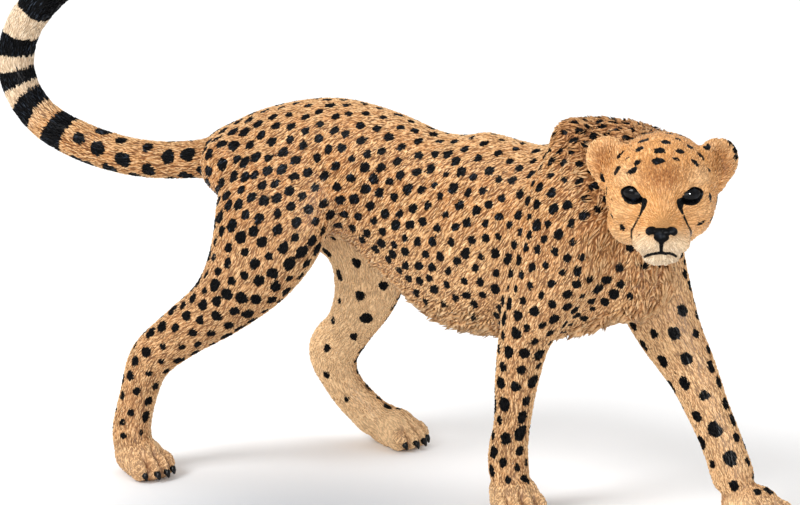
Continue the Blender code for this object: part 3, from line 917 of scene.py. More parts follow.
@dataclass
class Markings:
    """The black spots and rings: where they are and how large, found once on the skin."""

    spots: Array
    along: Array
    half_long: Array
    half_wide: Array
    tree: KDTree = field(init=False)

    # Where each ring of the tail starts and ends along it, and how much it slants.
    rings: Rows = (
        (23.2, 25.9, -0.12),
        (28.1, 30.7, 0.2),
        (32.2, 34.3, 0.05),
        (36.2, 38.8, 0.12),
        (42.3, 47.2, 0.1),
    )

    def __post_init__(self) -> None:
        """Sorts the spots in space."""
        self.tree = tree_of(self.spots)

    @staticmethod
    def spacing(lay: Lay) -> Array:
        """The least distance between neighbouring spots, and a huge one where there are none."""
        _, y, z = lay.points.T
        found = np.full(len(z), SPOT_PITCH)
        found -= 0.3 * lay.mane
        found += 0.22 * lay.leg_share * smooth_step(z, 24.0, 14.0)
        found += 0.5 * lay.leg_share * smooth_step(lay.inner, 0.2, 0.4)
        found += 1.1 * smooth_step(lay.inner, 0.55, 0.9)
        found += 0.8 * lay.tail_share
        bare = (lay.belly > 0.12) | (lay.chest > 0.25) | (lay.paw > 0.35)
        bare |= (lay.head_share > 0.3) & ((lay.head_places[:, 0] > -2.4) | (lay.ear > 0.2))
        bare |= (lay.tail_share > 0.5) & (lay.tail.places[:, 0] > 22.2)
        bare |= (np.abs(y) < 3.6) & (z < 29.0) & (lay.leg_share < 0.5)
        found[bare] = NEVER
        return found

    @staticmethod
    def half_size(lay: Lay) -> Array:
        """Half the usual size of a spot at each place."""
        size = np.full(len(lay.points), SPOT_HALF)
        ahead, _, up = lay.points.T
        size += 0.2 * lay.tail_share - 0.05 * lay.crest
        size += 0.08 * smooth_step(ahead, -8.0, -14.0) * smooth_step(up, 23.0, 29.0)
        size += 0.09 * smooth_step(ahead, 6.0, 12.0) * smooth_step(up, 21.0, 15.0)
        size -= 0.06 * smooth_step(ahead, 4.0, 10.0) * smooth_step(up, 21.0, 25.0)
        size -= 0.1 * smooth_step(up, 38.0, 43.0) * (1.0 - lay.mane)
        size -= 0.12 * smooth_step(up, 9.0, 4.0) * lay.leg_share
        return size

    @classmethod
    def scatter(cls, lay: Lay, chance: np.random.Generator) -> "Markings":
        """Sets the spots out on the skin, none closer to another than its spacing."""
        spacing = cls.spacing(lay)
        chosen = even_out(lay.points, spacing, spread_out(lay.points, spacing, chance))
        loose = SPOT_UNEVEN + 0.16 * lay.leg_share[chosen]
        size = cls.half_size(lay)[chosen] * (1.0 + loose * chance.uniform(-1.0, 1.0, len(chosen)))
        stretch = chance.uniform(1.0, SPOT_STRETCH, len(chosen))
        face = np.array(FACE_SPOTS)
        near = nearest_in(tree_of(lay.points), out_of(face[:, :3], HEAD.axes()))
        places = lay.points[np.r_[chosen, near]]
        across = unit(np.cross(lay.normals[near], forward_of(HEAD.axes())))
        along = np.vstack([lay.direction[chosen], across])
        size = np.r_[size, face[:, 3]]
        stretch = np.r_[stretch, np.full(len(near), FACE_STRETCH)]
        return cls(places, along, size * stretch, size)

    def nearest(self, points: Array, count: int = 4) -> Array:
        """The indices of the spots nearest to each point."""
        return np.array([[found[1] for found in self.tree.find_n(point, count)] for point in points])

    def distance(self, points: Array, near: Array) -> Array:
        """How far outside the spots points are, negative inside.

        Args:
            points: Body places.
            near: The spots that may reach each of them.
        """
        offset = points[:, None, :] - self.spots[near]
        along = (offset * self.along[near]).sum(2)
        across = np.sqrt(np.maximum((offset**2).sum(2) - along**2, 0.0))
        ratio = np.sqrt((along / self.half_long[near]) ** 2 + (across / self.half_wide[near]) ** 2)
        return ((ratio - 1.0) * self.half_wide[near]).min(1)

    def ring_distance(self, lay: Lay, past: Array) -> Array:
        """How far outside the tail's rings places are, and far outside off the tail.

        Args:
            lay: The lay of the coat at the roots.
            past: How far along the tail each place lies past its root, a column for each corner.
        """
        found = np.full(past.shape, FAR)
        along = lay.tail.places[:, 0, None] + past
        for start, end, slant in self.rings:
            here = along + slant * lay.tail.places[:, 2, None]
            found = np.minimum(found, np.abs(here - (start + end) / 2) - (end - start) / 2)
        return np.where(lay.tail_share[:, None] > 0.5, found, FAR)


# The spots of the face and crown in the head's axes: ahead, left, up and half size.
FACE_SPOTS = (
    (1.0, -2.0, 5.7, 0.45),
    (2.1, 0.3, 5.8, 0.405),
    (0.8, 1.7, 5.8, 0.3),
    (1.4, 2.8, 5.3, 0.405),
    (0.0, 4.7, 4.8, 0.3),
    (2.7, -2.5, 5.1, 0.45),
    (3.6, -0.4, 5.2, 0.51),
    (3.2, 1.8, 5.2, 0.405),
    (1.7, 4.0, 4.3, 0.45),
    (0.8, -4.5, 4.0, 0.405),
    (2.7, -3.7, 4.2, 0.255),
    (4.3, -2.6, 4.2, 0.36),
    (5.0, -0.5, 4.4, 0.54),
    (4.5, 1.4, 4.5, 0.36),
    (3.6, 3.4, 4.0, 0.405),
    (2.8, -4.8, 2.9, 0.51),
    (5.1, -3.1, 3.4, 0.48),
    (2.4, 5.0, 2.9, 0.3),
    (-1.0, 0.6, 6.1, 0.45),
    (-2.6, -1.6, 6.0, 0.51),
    (-2.4, 2.4, 5.7, 0.51),
    (-1.2, -6.2, 0.9, 0.39),
    (2.4, -5.7, -1.7, 0.375),
    (1.6, -6.0, 0.2, 0.36),
    (5.0, -5.3, -1.8, 0.255),
    (5.1, -4.3, -3.1, 0.375),
    (4.5, 5.1, 0.4, 0.33),
    (4.4, 5.3, -2.1, 0.45),
    (5.6, 4.2, -2.2, 0.33),
    (1.5, 6.0, -0.6, 0.42),
    (-0.5, 6.2, -2.4, 0.45),
    (-1.0, -6.1, -3.0, 0.45),
    (-3.0, 5.8, 0.4, 0.45),
    (-1.7, 7.9, 4.4, 0.45),
    (-1.8, 7.3, 5.4, 0.42),
    (-1.6, 8.1, 3.4, 0.33),
    (-3.2, -5.8, 0.6, 0.45),
)


def spread_out(points: Array, spacing: Array, chance: np.random.Generator) -> Array:
    """Chooses points in random order, none closer to a chosen one than its spacing.

    Args:
        points: The places to choose from.
        spacing: The least distance for each, or NEVER.
        chance: Where the order comes from.

    Returns:
        The chosen indices.
    """
    allowed = np.flatnonzero(spacing < NEVER)
    cell = float(spacing[allowed].max())
    keys = np.floor(points / cell).astype(int)
    taken: dict[tuple[int, int, int], list[int]] = {}
    chosen = []
    steps = [(a, b, c) for a in (-1, 0, 1) for b in (-1, 0, 1) for c in (-1, 0, 1)]
    for index in chance.permutation(allowed):
        place, (a, b, c), least = points[index], keys[index].tolist(), spacing[index] ** 2
        near = [other for i, j, k in steps for other in taken.get((a + i, b + j, c + k), ())]
        if near and (((points[near] - place) ** 2).sum(1) < least).any():
            continue
        taken.setdefault((a, b, c), []).append(index)
        chosen.append(index)
    return np.array(chosen)


def even_out(points: Array, spacing: Array, chosen: Array, rounds: int = 5) -> Array:
    """Moves chosen points apart until they are spaced evenly.

    Args:
        points: The places to choose from.
        spacing: The wanted spacing at each, or NEVER.
        chosen: The indices to start from.
        rounds: How often every chosen point goes to the middle of what is nearest to it.

    Returns:
        The new indices.
    """
    allowed = np.flatnonzero(spacing < NEVER)
    weight = spacing[allowed] ** -4.0
    every = tree_of(points[allowed])
    for _ in range(rounds):
        owner = nearest_in(tree_of(points[chosen]), points[allowed])
        total = np.bincount(owner, weight, len(chosen))
        sums = [np.bincount(owner, weight * row, len(chosen)) for row in points[allowed].T]
        chosen = np.unique(allowed[nearest_in(every, np.stack(sums, 1) / total[:, None])])
    return chosen


@dataclass
class Tones:
    """The painted colours at a set of places, as shares from 0 to 1."""

    cream: Array
    umber: Array
    white: Array
    honey: Array

    @classmethod
    def painted(cls, lay: Lay) -> "Tones":
        """Mixes the washes by region."""
        cream, umber = cls.body(lay)
        on_face = lay.head_share * (1 - lay.ear)
        face_cream, face_umber, face_white = cls.face(lay.head_places)
        cream = np.where(on_face > 0.5, face_cream, cream)
        umber = np.where(on_face > 0.5, face_umber, umber)
        # Painted shade: umber deepest, and cream least, in the hollow of each ear.
        hollow = np.zeros(len(lay.points))
        for side in SIDES:
            front, across, up = HEAD.ear_places(lay.points, side).T
            hollow = np.maximum(hollow, smooth_step(np.hypot(across, up + 0.1), 0.8, 0.35) * (front > 0.0))
        cream = np.where(lay.ear > 0.3, 0.3 * (1.0 - hollow), cream)
        umber = np.where(lay.ear > 0.3, 0.15 + 0.6 * hollow, umber)
        pale_tail = smooth_step(lay.tail.places[:, 0], 25.0, 33.0) * lay.tail_share
        white = np.maximum(face_white * on_face, 0.85 * pale_tail)
        honey = lay.head_share * smooth_step(lay.head_places[:, 0] + 3.0 * lay.ear, -5.0, 0.5)
        return cls(np.clip(cream, 0, 1), np.clip(umber, 0, 1), np.clip(white, 0, 1), honey)

    @staticmethod
    def body(lay: Lay) -> tuple[Array, Array]:
        """Cream and umber on trunk, legs, neck and tail."""
        x, _, z = lay.points.T
        past = lay.tail.places[:, 0]
        off_head = 1 - lay.head_share
        cream = 0.25 * smooth_step(z, 37.0, 25.0)
        cream += 0.65 * lay.inner + 0.3 * lay.paw
        # Painted light: a little cream on the upward-facing top of the back.
        cream += 0.135 * smooth_step(lay.normals[:, 2], 0.3, 0.9) * smooth_step(z, 30.0, 40.0) * off_head
        umber = 0.5 * lay.chest + (0.3 + 0.25 * lay.crest) * lay.mane + 0.25 * lay.belly + 0.1 * lay.leg_share
        rear = smooth_step(x, -2.0, -12.0) * (1.0 - lay.inner)
        umber += 0.22 * rear * (1.0 - smooth_step(past, 20.0, 24.0) * lay.tail_share)
        # Painted shade: umber in the clefts between the toes.
        for leg in LEGS:
            ahead, across, _ = into(lay.points, leg.paw_axes()).T
            clefts = sum(bell(across - gap * PAW.toe_pitch, 0.2) for gap in PAW.clefts)
            on_toes = smooth_step(ahead, 1.4, 2.4) * smooth_step(np.abs(across), 2.4, 1.8)
            umber += 1.1 * lay.paw * clefts * on_toes
        neck_side = smooth_step(x, 27.0, 31.0) * smooth_step(z, 24.0, 30.0) * off_head
        umber = np.maximum(umber, 0.45 * neck_side * (1 - lay.leg_share))
        umber += 0.35 * lay.tail_share * smooth_step(past, 12.0, 3.0)
        return cream, umber

    @staticmethod
    def face(places: Array) -> tuple[Array, Array, Array]:
        """Cream, umber and white on the face, at places in the head's axes."""
        ahead, left, up = places.T
        side = np.abs(left)
        front = smooth_step(ahead, 1.0, 4.0)
        muzzle = smooth_step(ahead, 5.0, 7.6) * smooth_step(up, -1.6, -4.0) * smooth_step(side, 4.2, 1.6)
        chin = smooth_step(up, -4.6, -5.4) * smooth_step(ahead, 2.0, 4.0)
        brow = bell(side - 3.9, 1.6) * bell(up - 2.7, 1.0) * front
        below_eye = bell(side - 4.3, 1.5) * bell(up + 0.8, 1.4) * front
        between = bell(side, 2.3) * bell(up - 3.1, 1.2) * smooth_step(ahead, 2.0, 4.0)
        jaw = smooth_step(up, -2.0, -4.5)
        cream = 0.5 * brow + 0.3 * below_eye + 0.5 * jaw + muzzle
        return cream, 1.3 * between, np.maximum(0.8 * muzzle, 0.95 * chin)


@dataclass
class Skin:
    """The one moulded skin of the figure, under its raised strokes."""

    voxel: float = 0.2
    body_voxel: float = 0.3
    body_easing: int = 43
    detail_easing: int = 16
    triangles: int = 118000
    longest: float = 0.42
    depth: float = 0.14
    parting: float = 0.32
    parting_edge: float = 0.16
    clump_size: Place = (1.2, 1.2, 2.4)
    fine_reach: float = 10.5  # how far round the head triangles are kept fine
    fine_height: float = 4.0  # and how far above the floor
    fine_share: float = 0.4
    loose_factor: float = 0.002
    points: Array = field(init=False)
    normals: Array = field(init=False)
    corners: Array = field(init=False)
    lay: Lay = field(init=False)

    def build(self) -> bpy.types.Object:
        """Fuses, sculpts and lightens the skin, and keeps its points for the coat."""
        shape = bmesh.new()
        for loft in (TRUNK, NECK, TAIL, *(leg.loft() for leg in LEGS)):
            loft.add_to(shape)
        for muscle in MUSCLES:
            muscle.add_to(shape, Matrix())
        body = new_object("skin", shape)
        fuse(body, self.body_voxel, self.body_easing)
        details = bmesh.new()
        HEAD.add_to(details)
        for leg in LEGS:
            PAW.add_to(details, leg.paw_axes())
        details.from_mesh(body.data)
        details.to_mesh(body.data)
        details.free()
        fuse(body, self.voxel, self.detail_easing)
        points = read_vectors(body.data.vertices, "co")
        for leg in LEGS:
            PAW.part_toes(points, leg.paw_axes())
        write_places(body.data, points)
        self.lighten(body, points)
        points = read_vectors(body.data.vertices, "co")
        points -= read_vectors(body.data.vertices, "normal") * self.depth
        HEAD.sculpt(points)
        points[:, 2] = np.maximum(points[:, 2], 0.0)
        write_places(body.data, points)
        body.data.shade_smooth()
        points = self.clump(points, Lay(points, unit(read_vectors(body.data.vertices, "normal"))))
        write_places(body.data, points)
        self.points = points
        self.normals = unit(read_vectors(body.data.vertices, "normal"))
        self.lay = Lay(self.points, self.normals)
        edges = np.zeros(2 * len(body.data.edges), dtype=np.int32)
        body.data.edges.foreach_get("vertices", edges)
        self.lay.ease(edges.reshape(-1, 2))
        corners = np.zeros(3 * len(body.data.polygons), dtype=np.int32)
        body.data.polygons.foreach_get("vertices", corners)
        self.corners = corners.reshape(-1, 3)
        return body

    def clump(self, points: Array, lay: Lay) -> Array:
        """Sinks the partings between the clumps of the long hair on mane, breast and belly."""
        share = np.maximum.reduce([lay.chest, lay.belly, 0.6 * lay.mane])
        sunk = np.zeros(len(points))
        for index in np.flatnonzero(share > 0.02):
            parting = noise.noise(Vector(points[index] / self.clump_size))
            sunk[index] = self.parting * share[index] * math.exp(-((parting / self.parting_edge) ** 2))
        return points - lay.normals * sunk[:, None]

    def keep(self, body: bpy.types.Object, markings: Markings) -> None:
        """Keeps on the skin's mesh what its paint needs at each vertex."""
        lay = self.lay
        spot = markings.distance(lay.points, markings.nearest(lay.points))
        rings = markings.ring_distance(lay, np.zeros((len(lay.points), 1)))
        kept = {
            "spot": np.minimum(spot, rings[:, 0]),
            "line": face_lines(lay.head_places, lay.head_share),
            **vars(Tones.painted(lay)),
            "shade": np.zeros(len(lay.points)),
            "slope": lay.slope(),
            "limb_share": lay.limb_share,
            "limb_places": lay.limb_places,
        }
        for key, values in kept.items():
            write_attribute(body.data, key, values)

    def lighten(self, body: bpy.types.Object, points: Array) -> None:
        """Takes triangles away, fewest on the head and the paws, then splits those that are too long."""
        loose = body.vertex_groups.new(name="loose")
        fine = np.linalg.norm(points - np.array(HEAD.place), axis=1) < self.fine_reach
        fine |= points[:, 2] < self.fine_height
        for chosen, weight in ((fine, self.fine_share), (~fine, 1.0)):
            loose.add([int(index) for index in np.flatnonzero(chosen)], weight, "REPLACE")
        decimate = body.modifiers.new("lighten", "DECIMATE")
        decimate.ratio = self.triangles / (2.0 * len(body.data.polygons))
        decimate.vertex_group = "loose"
        decimate.vertex_group_factor = self.loose_factor
        apply_modifiers(body)
        body.vertex_groups.clear()
        shape = bmesh.new()
        shape.from_mesh(body.data)
        for _ in range(2):
            long = [edge for edge in shape.edges if edge.calc_length() > self.longest]
            bmesh.ops.subdivide_edges(shape, edges=long, cuts=1)
            bmesh.ops.triangulate(shape, faces=shape.faces[:])
        shape.to_mesh(body.data)
        shape.free()
        LOG.info("skin: %d triangles", len(body.data.polygons))


def write_attribute(mesh: bpy.types.Mesh, name: str, values: Array) -> None:
    """Keeps a number or a vector for each vertex of a mesh under a name."""
    if values.ndim == 1:
        made = mesh.attributes.new(name, "FLOAT", "POINT")
        made.data.foreach_set("value", values.astype(np.float32))
    else:
        made = mesh.attributes.new(name, "FLOAT_VECTOR", "POINT")
        made.data.foreach_set("vector", values.astype(np.float32).ravel())


def face_lines(places: Array, share: Array) -> Array:
    """How far outside the painted lines of the face places in the head's axes are."""
    ahead, left, up = places.T
    eye = np.full(len(places), FAR)
    body = out_of(places, HEAD.axes())
    for side in SIDES:
        front, across, high = into(body, HEAD.eye_axes(side)).T
        outline = np.where(front > -1.5, EYE_OUTLINE.distance(across * side, high), FAR)
        eye = np.minimum(eye, outline)
    found = np.minimum(eye - EYE_OUTLINE.rim, TEAR_LINE.distance(left, up))
    found = np.minimum(found, LIP_LINE.distance(left, up))
    return np.where((ahead > 3.5) & (share > 0.5), found, FAR)


@dataclass(frozen=True)
class Chart:
    """A rectangle of the coat's unwrap: its low corner and its size in millimetres of skin."""

    left: float
    low: float
    wide: float
    high: float

    def unroll(self, along: Array, angle: Array) -> Array:
        """Places on it, from shares along a tube and angles round it."""
        across = self.left + self.wide * np.clip(along, 0.0, 1.0)
        up = self.low + self.high * (angle / (2 * math.pi) + 0.5)
        return np.stack([across, up], 1)


@dataclass(frozen=True)
class Unwrap:
    """Lays the skin out flat: each limb and the trunk as an unrolled tube, and the head as two discs."""

    side: float = 118.0  # millimetres of skin that the whole square holds each way
    trunk: Chart = Chart(1.0, 1.0, 62.0, 56.0)
    tail: Chart = Chart(1.0, 59.0, 60.0, 14.0)
    legs: tuple[Chart, ...] = (
        Chart(64.0, 1.0, 52.0, 24.0),
        Chart(64.0, 26.0, 52.0, 24.0),
        Chart(64.0, 51.0, 52.0, 20.0),
        Chart(64.0, 72.0, 52.0, 20.0),
    )
    head_front: Chart = Chart(1.0, 75.0, 22.0, 22.0)
    head_back: Chart = Chart(24.0, 75.0, 22.0, 22.0)
    ears: Chart = Chart(47.0, 94.0, 40.0, 20.0)
    rear: float = 22.0  # how far the trunk's chart reaches behind the middle of the body's axes
    leg_spare: float = 5.0
    tail_spare: float = 2.0

    def places(self, lay: Lay) -> Array:
        """Where each point of the coat lies on the unwrap, from 0 to 1."""
        p = lay.points
        flat = self.trunk.unroll((p[:, 0] + self.rear) / self.trunk.wide, TRUNK.straighten(p).angle())
        for leg, chart in zip(LEGS, self.legs):
            found = lay.legs[leg.name]
            here = (found.places[:, 0] > leg.hip * 0.8) & (found.reach < 1.7) & (p[:, 1] * leg.side > 0)
            along = found.places[:, 0] / (found.length + self.leg_spare)
            flat[here] = chart.unroll(along, found.angle())[here]
        here = lay.tail_share > 0.5
        along = lay.tail.places[:, 0] / (lay.tail.length + self.tail_spare)
        flat[here] = self.tail.unroll(along, lay.tail.angle())[here]
        ahead, left, up = unit(lay.head_places).T
        for chart, sign in ((self.head_front, 1.0), (self.head_back, -1.0)):
            here = (lay.head_share > 0.5) & (ahead * sign >= 0)
            spread = np.sqrt(np.maximum(1.0 - ahead * sign, 0.0)) / np.maximum(np.hypot(left, up), 1e-6)
            disc = np.stack([left, up], 1) * spread[:, None] * 0.5 + 0.5
            flat[here] = (np.array([chart.left, chart.low]) + disc * (chart.wide, chart.high))[here]
        pitch = self.ears.wide / 4  # a column for the front and one for the back of each ear
        for order, side in enumerate(SIDES):
            front, across, up = HEAD.ear_places(p, side).T
            here = (lay.ear > 0.3) & (lay.head_places[:, 1] * side > 0)
            column = 2 * order + (front > 0)
            across = self.ears.left + pitch * (column + 0.5 + 0.45 * np.clip(across, -1, 1))
            up = self.ears.low + pitch * (1.0 + 0.9 * np.clip(up, -1, 1))
            flat[here] = np.stack([across, up], 1)[here]
        return flat / self.side


@dataclass(frozen=True)
class StrokeSize:
    """The usual size of the raised strokes of fur in one region, in millimetres."""

    length: float
    width: float
    height: float
    lift: float
    spacing: float


SLEEK = StrokeSize(0.9, 0.18, 0.1, 0.02, 0.25)
FACE = StrokeSize(0.66, 0.14, 0.08, 0.03, 0.22)
EAR = StrokeSize(0.9, 0.2, 0.14, 0.12, 0.25)
FOOT = StrokeSize(0.6, 0.18, 0.07, 0.02, 0.3)
SHANK = StrokeSize(0.85, 0.19, 0.12, 0.04, 0.26)
BRUSH = StrokeSize(1.1, 0.22, 0.12, 0.1, 0.29)
MANE = StrokeSize(1.1, 0.3, 0.22, 0.25, 0.32)
BREAST = StrokeSize(1.6, 0.4, 0.28, 0.26, 0.38)
FRINGE = StrokeSize(1.9, 0.6, 0.38, 0.5, 0.46)


def stroke_sizes(lay: Lay) -> Array:
    """Length, width, height, lift and spacing of the strokes at each place."""
    parts = [
        (lay.leg_share * 0.8, SHANK),
        (lay.tail_share, BRUSH),
        (lay.mane, MANE),
        (lay.chest, BREAST),
        (lay.belly, FRINGE),
        (lay.paw, FOOT),
        (lay.head_share, FACE),
        (lay.ear, EAR),
    ]
    found = np.tile(astuple(SLEEK), (len(lay.points), 1))
    for share, size in parts:
        found += share[:, None] * (np.array(astuple(size)) - found)
    return found


@dataclass
class Coat:
    """The raised strokes of moulded fur that stand on the skin."""

    skin: Skin
    markings: Markings
    chance: np.random.Generator
    tries: float = 30.0  # places tried in each square millimetre
    size_range: Pair = (0.75, 1.3)
    lift_range: Pair = (0.2, 1.8)
    turn: float = 0.16  # how unevenly strokes point, in radians
    mane_turn: float = 0.25
    widest: float = 0.45  # how far along it a stroke is widest
    root_depth: float = 0.05
    edge_depth: float = 0.03
    clump_pitch: float = 1.5
    clump_pull: float = 0.7
    line_bare: float = 0.1  # how close strokes come to the painted lines
    floor_bare: float = 0.35
    floor_gap: float = 0.02
    spot_even: float = 0.25  # how much of a stroke's edges takes the paint of its top
    ring_even: float = 0.2
    shade_spread: float = 0.42
    crest_shade: float = 0.6
    nose_bare: Rounding = Rounding(HEAD.nose, (1.6, 2.0, 1.3))
    layers: tuple[str, ...] = ("coat_first", "coat_second", "coat_third", "coat_fourth")

    def __post_init__(self) -> None:
        """Sorts the skin's points in space."""
        self.tree = tree_of(self.skin.points)

    def roots(self) -> Lay:
        """Chooses where strokes grow, from places scattered over the skin's triangles."""
        corners = self.skin.corners
        low, middle, high = (self.skin.points[corners[:, k]] for k in range(3))
        area = np.linalg.norm(np.cross(middle - low, high - low), axis=1) / 2
        copies = (area * self.tries + self.chance.random(len(area))).astype(int)
        corners = np.repeat(corners, copies, axis=0)
        root, share = np.sqrt(self.chance.random(len(corners))), self.chance.random(len(corners))
        weights = np.stack([1.0 - root, root * (1.0 - share), root * share], 1)
        lay = self.skin.lay.sampled(corners, weights)
        spacing = stroke_sizes(lay)[:, 4]
        bare = face_lines(lay.head_places, lay.head_share) < self.line_bare
        bare |= (self.nose_bare.reach(lay.head_places) < 1.0) | (lay.points[:, 2] < self.floor_bare)
        spacing[bare] = NEVER
        chosen = spread_out(lay.points, spacing, self.chance)
        return lay.sampled(np.repeat(chosen[:, None], 3, 1), np.full((len(chosen), 3), 1.0 / 3.0))

    def shaped(self, lay: Lay) -> Array:
        """Five corners of the stroke at each root: root, left, right, top and tip."""
        sizes = stroke_sizes(lay)
        count = len(lay.points)
        length, width, height = (sizes[:, :3] * self.chance.uniform(*self.size_range, (count, 3))).T
        lift = sizes[:, 3] * self.chance.uniform(*self.lift_range, count)
        turn = self.chance.normal(0.0, self.turn, count)
        turn += self.mane_turn * self.chance.normal(0.0, 1.0, count) * lay.mane
        root, normal = lay.points, lay.normals
        across = np.cross(normal, lay.direction)
        along = lay.direction * np.cos(turn)[:, None] + across * np.sin(turn)[:, None]
        across = np.cross(normal, along) * (0.5 * width)[:, None]
        middle, middle_normal = self.snap(root + along * (self.widest * length)[:, None])
        clumped = np.maximum.reduce([0.8 * lay.chest, lay.belly, 0.7 * lay.mane])
        end, end_normal = self.snap(self.gather(root + along * length[:, None], clumped))
        low = middle - middle_normal * self.edge_depth
        top, tip = middle + middle_normal * height[:, None], end + end_normal * lift[:, None]
        corners = np.stack([root - normal * self.root_depth, low - across, low + across, top, tip], 1)
        corners[:, :, 2] = np.maximum(corners[:, :, 2], self.floor_gap)
        return corners

    def paints(self, lay: Lay, corners: Array) -> Paints:
        """What the paint needs: values for each stroke, or for each of its five corners."""
        near = self.markings.nearest(lay.points)
        spot = np.stack([self.markings.distance(corner, near) for corner in corners.swapaxes(0, 1)], 1)
        spot = (1.0 - self.spot_even) * spot + self.spot_even * spot[:, 3:4]
        past = ((corners - lay.points[:, None]) * lay.tail.forward[:, None]).sum(2)
        rings = self.markings.ring_distance(lay, past)
        rings = (1.0 - self.ring_even) * rings + self.ring_even * rings[:, :1]
        places = [into(corner, HEAD.axes()) for corner in corners.swapaxes(0, 1)]
        shade = self.chance.normal(0.0, self.shade_spread, len(lay.points)).clip(-1.0, 1.0)
        return {
            "spot": np.minimum(spot, rings),
            "line": np.stack([face_lines(place, lay.head_share) for place in places], 1),
            **vars(Tones.painted(lay)),
            "shade": shade - self.crest_shade * lay.crest,
        }

    def build(self) -> list[bpy.types.Object]:
        """Makes the strokes, in layers that each keep to a modest number of faces."""
        lay = self.roots()
        count = len(lay.points)
        corners = self.shaped(lay)
        flat = Unwrap().places(lay)
        paints = self.paints(lay, corners)
        made = []
        for order, name in enumerate(self.layers):
            pick = np.arange(order, count, len(self.layers))
            kept = {key: np.broadcast_to(values[pick].T, (5, len(pick))).T for key, values in paints.items()}
            # How high each corner stands: the top takes dry brush and painted highlight, the root and edges
            # dark wash and painted shade.
            kept["rise"] = np.tile((0.0, 0.0, 0.0, 1.0, 0.85), len(pick))
            made.append(self.layer(name, corners[pick], flat[pick], kept))
        LOG.info("coat: %d strokes", count)
        return made

    def gather(self, ends: Array, share: Array) -> Array:
        """Draws the ends of strokes together into clumps, by each one's share."""
        tips = ends[spread_out(ends, np.where(share > 0.1, self.clump_pitch, NEVER), self.chance)]
        return ends + self.clump_pull * share[:, None] * (tips[nearest_in(tree_of(tips), ends)] - ends)

    def snap(self, places: Array) -> tuple[Array, Array]:
        """The nearest points of the skin and its normals there."""
        found = nearest_in(self.tree, places)
        points, normals = self.skin.points[found], self.skin.normals[found]
        height = ((places - points) * normals).sum(1)
        return places - normals * height[:, None], normals

    @staticmethod
    def layer(name: str, corners: Array, flat: Array, paints: Paints) -> bpy.types.Object:
        """One mesh of strokes.

        Args:
            name: The piece's name.
            corners: Five corners of each stroke: root, left, right, top and tip.
            flat: Where each root lies on the coat's unwrap.
            paints: Values to keep for each corner.

        Returns:
            The new object.
        """
        faces = np.array([(0, 1, 3), (0, 3, 2), (1, 4, 3), (3, 4, 2), (0, 2, 1), (1, 2, 4)])
        count = len(corners)
        index = (faces[None] + 5 * np.arange(count)[:, None, None]).reshape(-1, 3)
        mesh = bpy.data.meshes.new(name)
        mesh.from_pydata(corners.reshape(-1, 3).tolist(), [], index.tolist())
        spread = 0.0015 * np.array([(-1.0, 0.0), (0.0, -0.6), (0.0, 0.6), (0.1, 0.0), (1.0, 0.0)])
        places = (flat[:, None, :] + spread[None]).reshape(-1, 2)
        uv = mesh.uv_layers.new(name="OFBake")
        uv.data.foreach_set("uv", places[index.ravel()].astype(np.float32).ravel())
        for key, values in paints.items():
            write_attribute(mesh, key, np.ravel(values))
        mesh.shade_smooth()
        return linked(name, mesh)


Socket = bpy.types.NodeSocket
Value = float | tuple[float, ...] | Socket


@dataclass
class Nodes:
    """A short way to fill a node tree."""

    tree: bpy.types.NodeTree

    def add(self, kind: str, settings: dict[str, object] | None = None, **inputs: Value) -> bpy.types.Node:
        """Adds a node, with its settings, and its inputs by name or by number after an underscore."""
        node = self.tree.nodes.new("ShaderNode" + kind)
        for key, value in (settings or {}).items():
            setattr(node, key, value)
        self.feed(node, **inputs)
        return node

    def feed(self, node: bpy.types.Node, **inputs: Value) -> None:
        """Links or sets the inputs of a node, by name or by number after an underscore."""
        for key, value in inputs.items():
            socket = node.inputs[int(key[1:]) if key[0] == "_" else key.replace("_", " ")]
            if isinstance(value, Socket):
                self.tree.links.new(value, socket)
            else:
                socket.default_value = value

    def math(self, operation: str, first: Value, second: Value = 0.0, third: Value = 0.0) -> Socket:
        """The result of a mathematical operation."""
        return self.add("Math", {"operation": operation}, _0=first, _1=second, _2=third).outputs[0]

    def times(self, first: Value, second: Value) -> Socket:
        """The product of two numbers."""
        return self.math("MULTIPLY", first, second)

    def stirred(self, value: Value, cloud: Value, amount: float) -> Socket:
        """A number moved up and down by noise."""
        return self.math("MULTIPLY_ADD", self.math("SUBTRACT", cloud, 0.5), amount, value)

    def mix(self, share: Value, first: Value, second: Value) -> Socket:
        """A colour between two."""
        return self.add("Mix", {"data_type": "RGBA"}, _0=share, _6=first, _7=second).outputs[2]

    def blend(self, share: Value, first: Value, second: Value) -> Socket:
        """A number between two."""
        return self.add("Mix", {"data_type": "FLOAT"}, _0=share, _2=first, _3=second).outputs[0]

    def ramp(self, value: Value, low: float, high: float, start: float = 0.0, end: float = 1.0) -> Socket:
        """A number that runs smoothly from start to end while the value runs from low to high."""
        settings = {"interpolation_type": "SMOOTHSTEP"}
        return self.add("MapRange", settings, _0=value, _1=low, _2=high, _3=start, _4=end).outputs[0]

    def place(self) -> Socket:
        """Where a point of the object is, in metres."""
        return self.add("TexCoord").outputs["Object"]

    def kept(self, name: str, output: str = "Fac") -> Socket:
        """What a mesh keeps for its vertices under a name."""
        return self.add("Attribute", {"attribute_name": name}).outputs[output]

    def grain(self, place: Value, size: float, detail: float = 2.0) -> Socket:
        """Noise whose grains are about the given size in metres."""
        return self.add("TexNoise", None, Vector=place, Scale=1.0 / size, Detail=detail).outputs[0]

    def stretched(self, place: Value, factors: Place) -> Socket:
        """A place whose parts are multiplied by the factors."""
        return self.add("VectorMath", {"operation": "MULTIPLY"}, _0=place, _1=factors).outputs[0]


def new_material(name: str) -> tuple[bpy.types.Material, Nodes, bpy.types.Node]:
    """A material, what fills its tree, and its Principled shader."""
    made = bpy.data.materials.new(name)
    made.use_nodes = True
    return made, Nodes(made.node_tree), made.node_tree.nodes["Principled BSDF"]


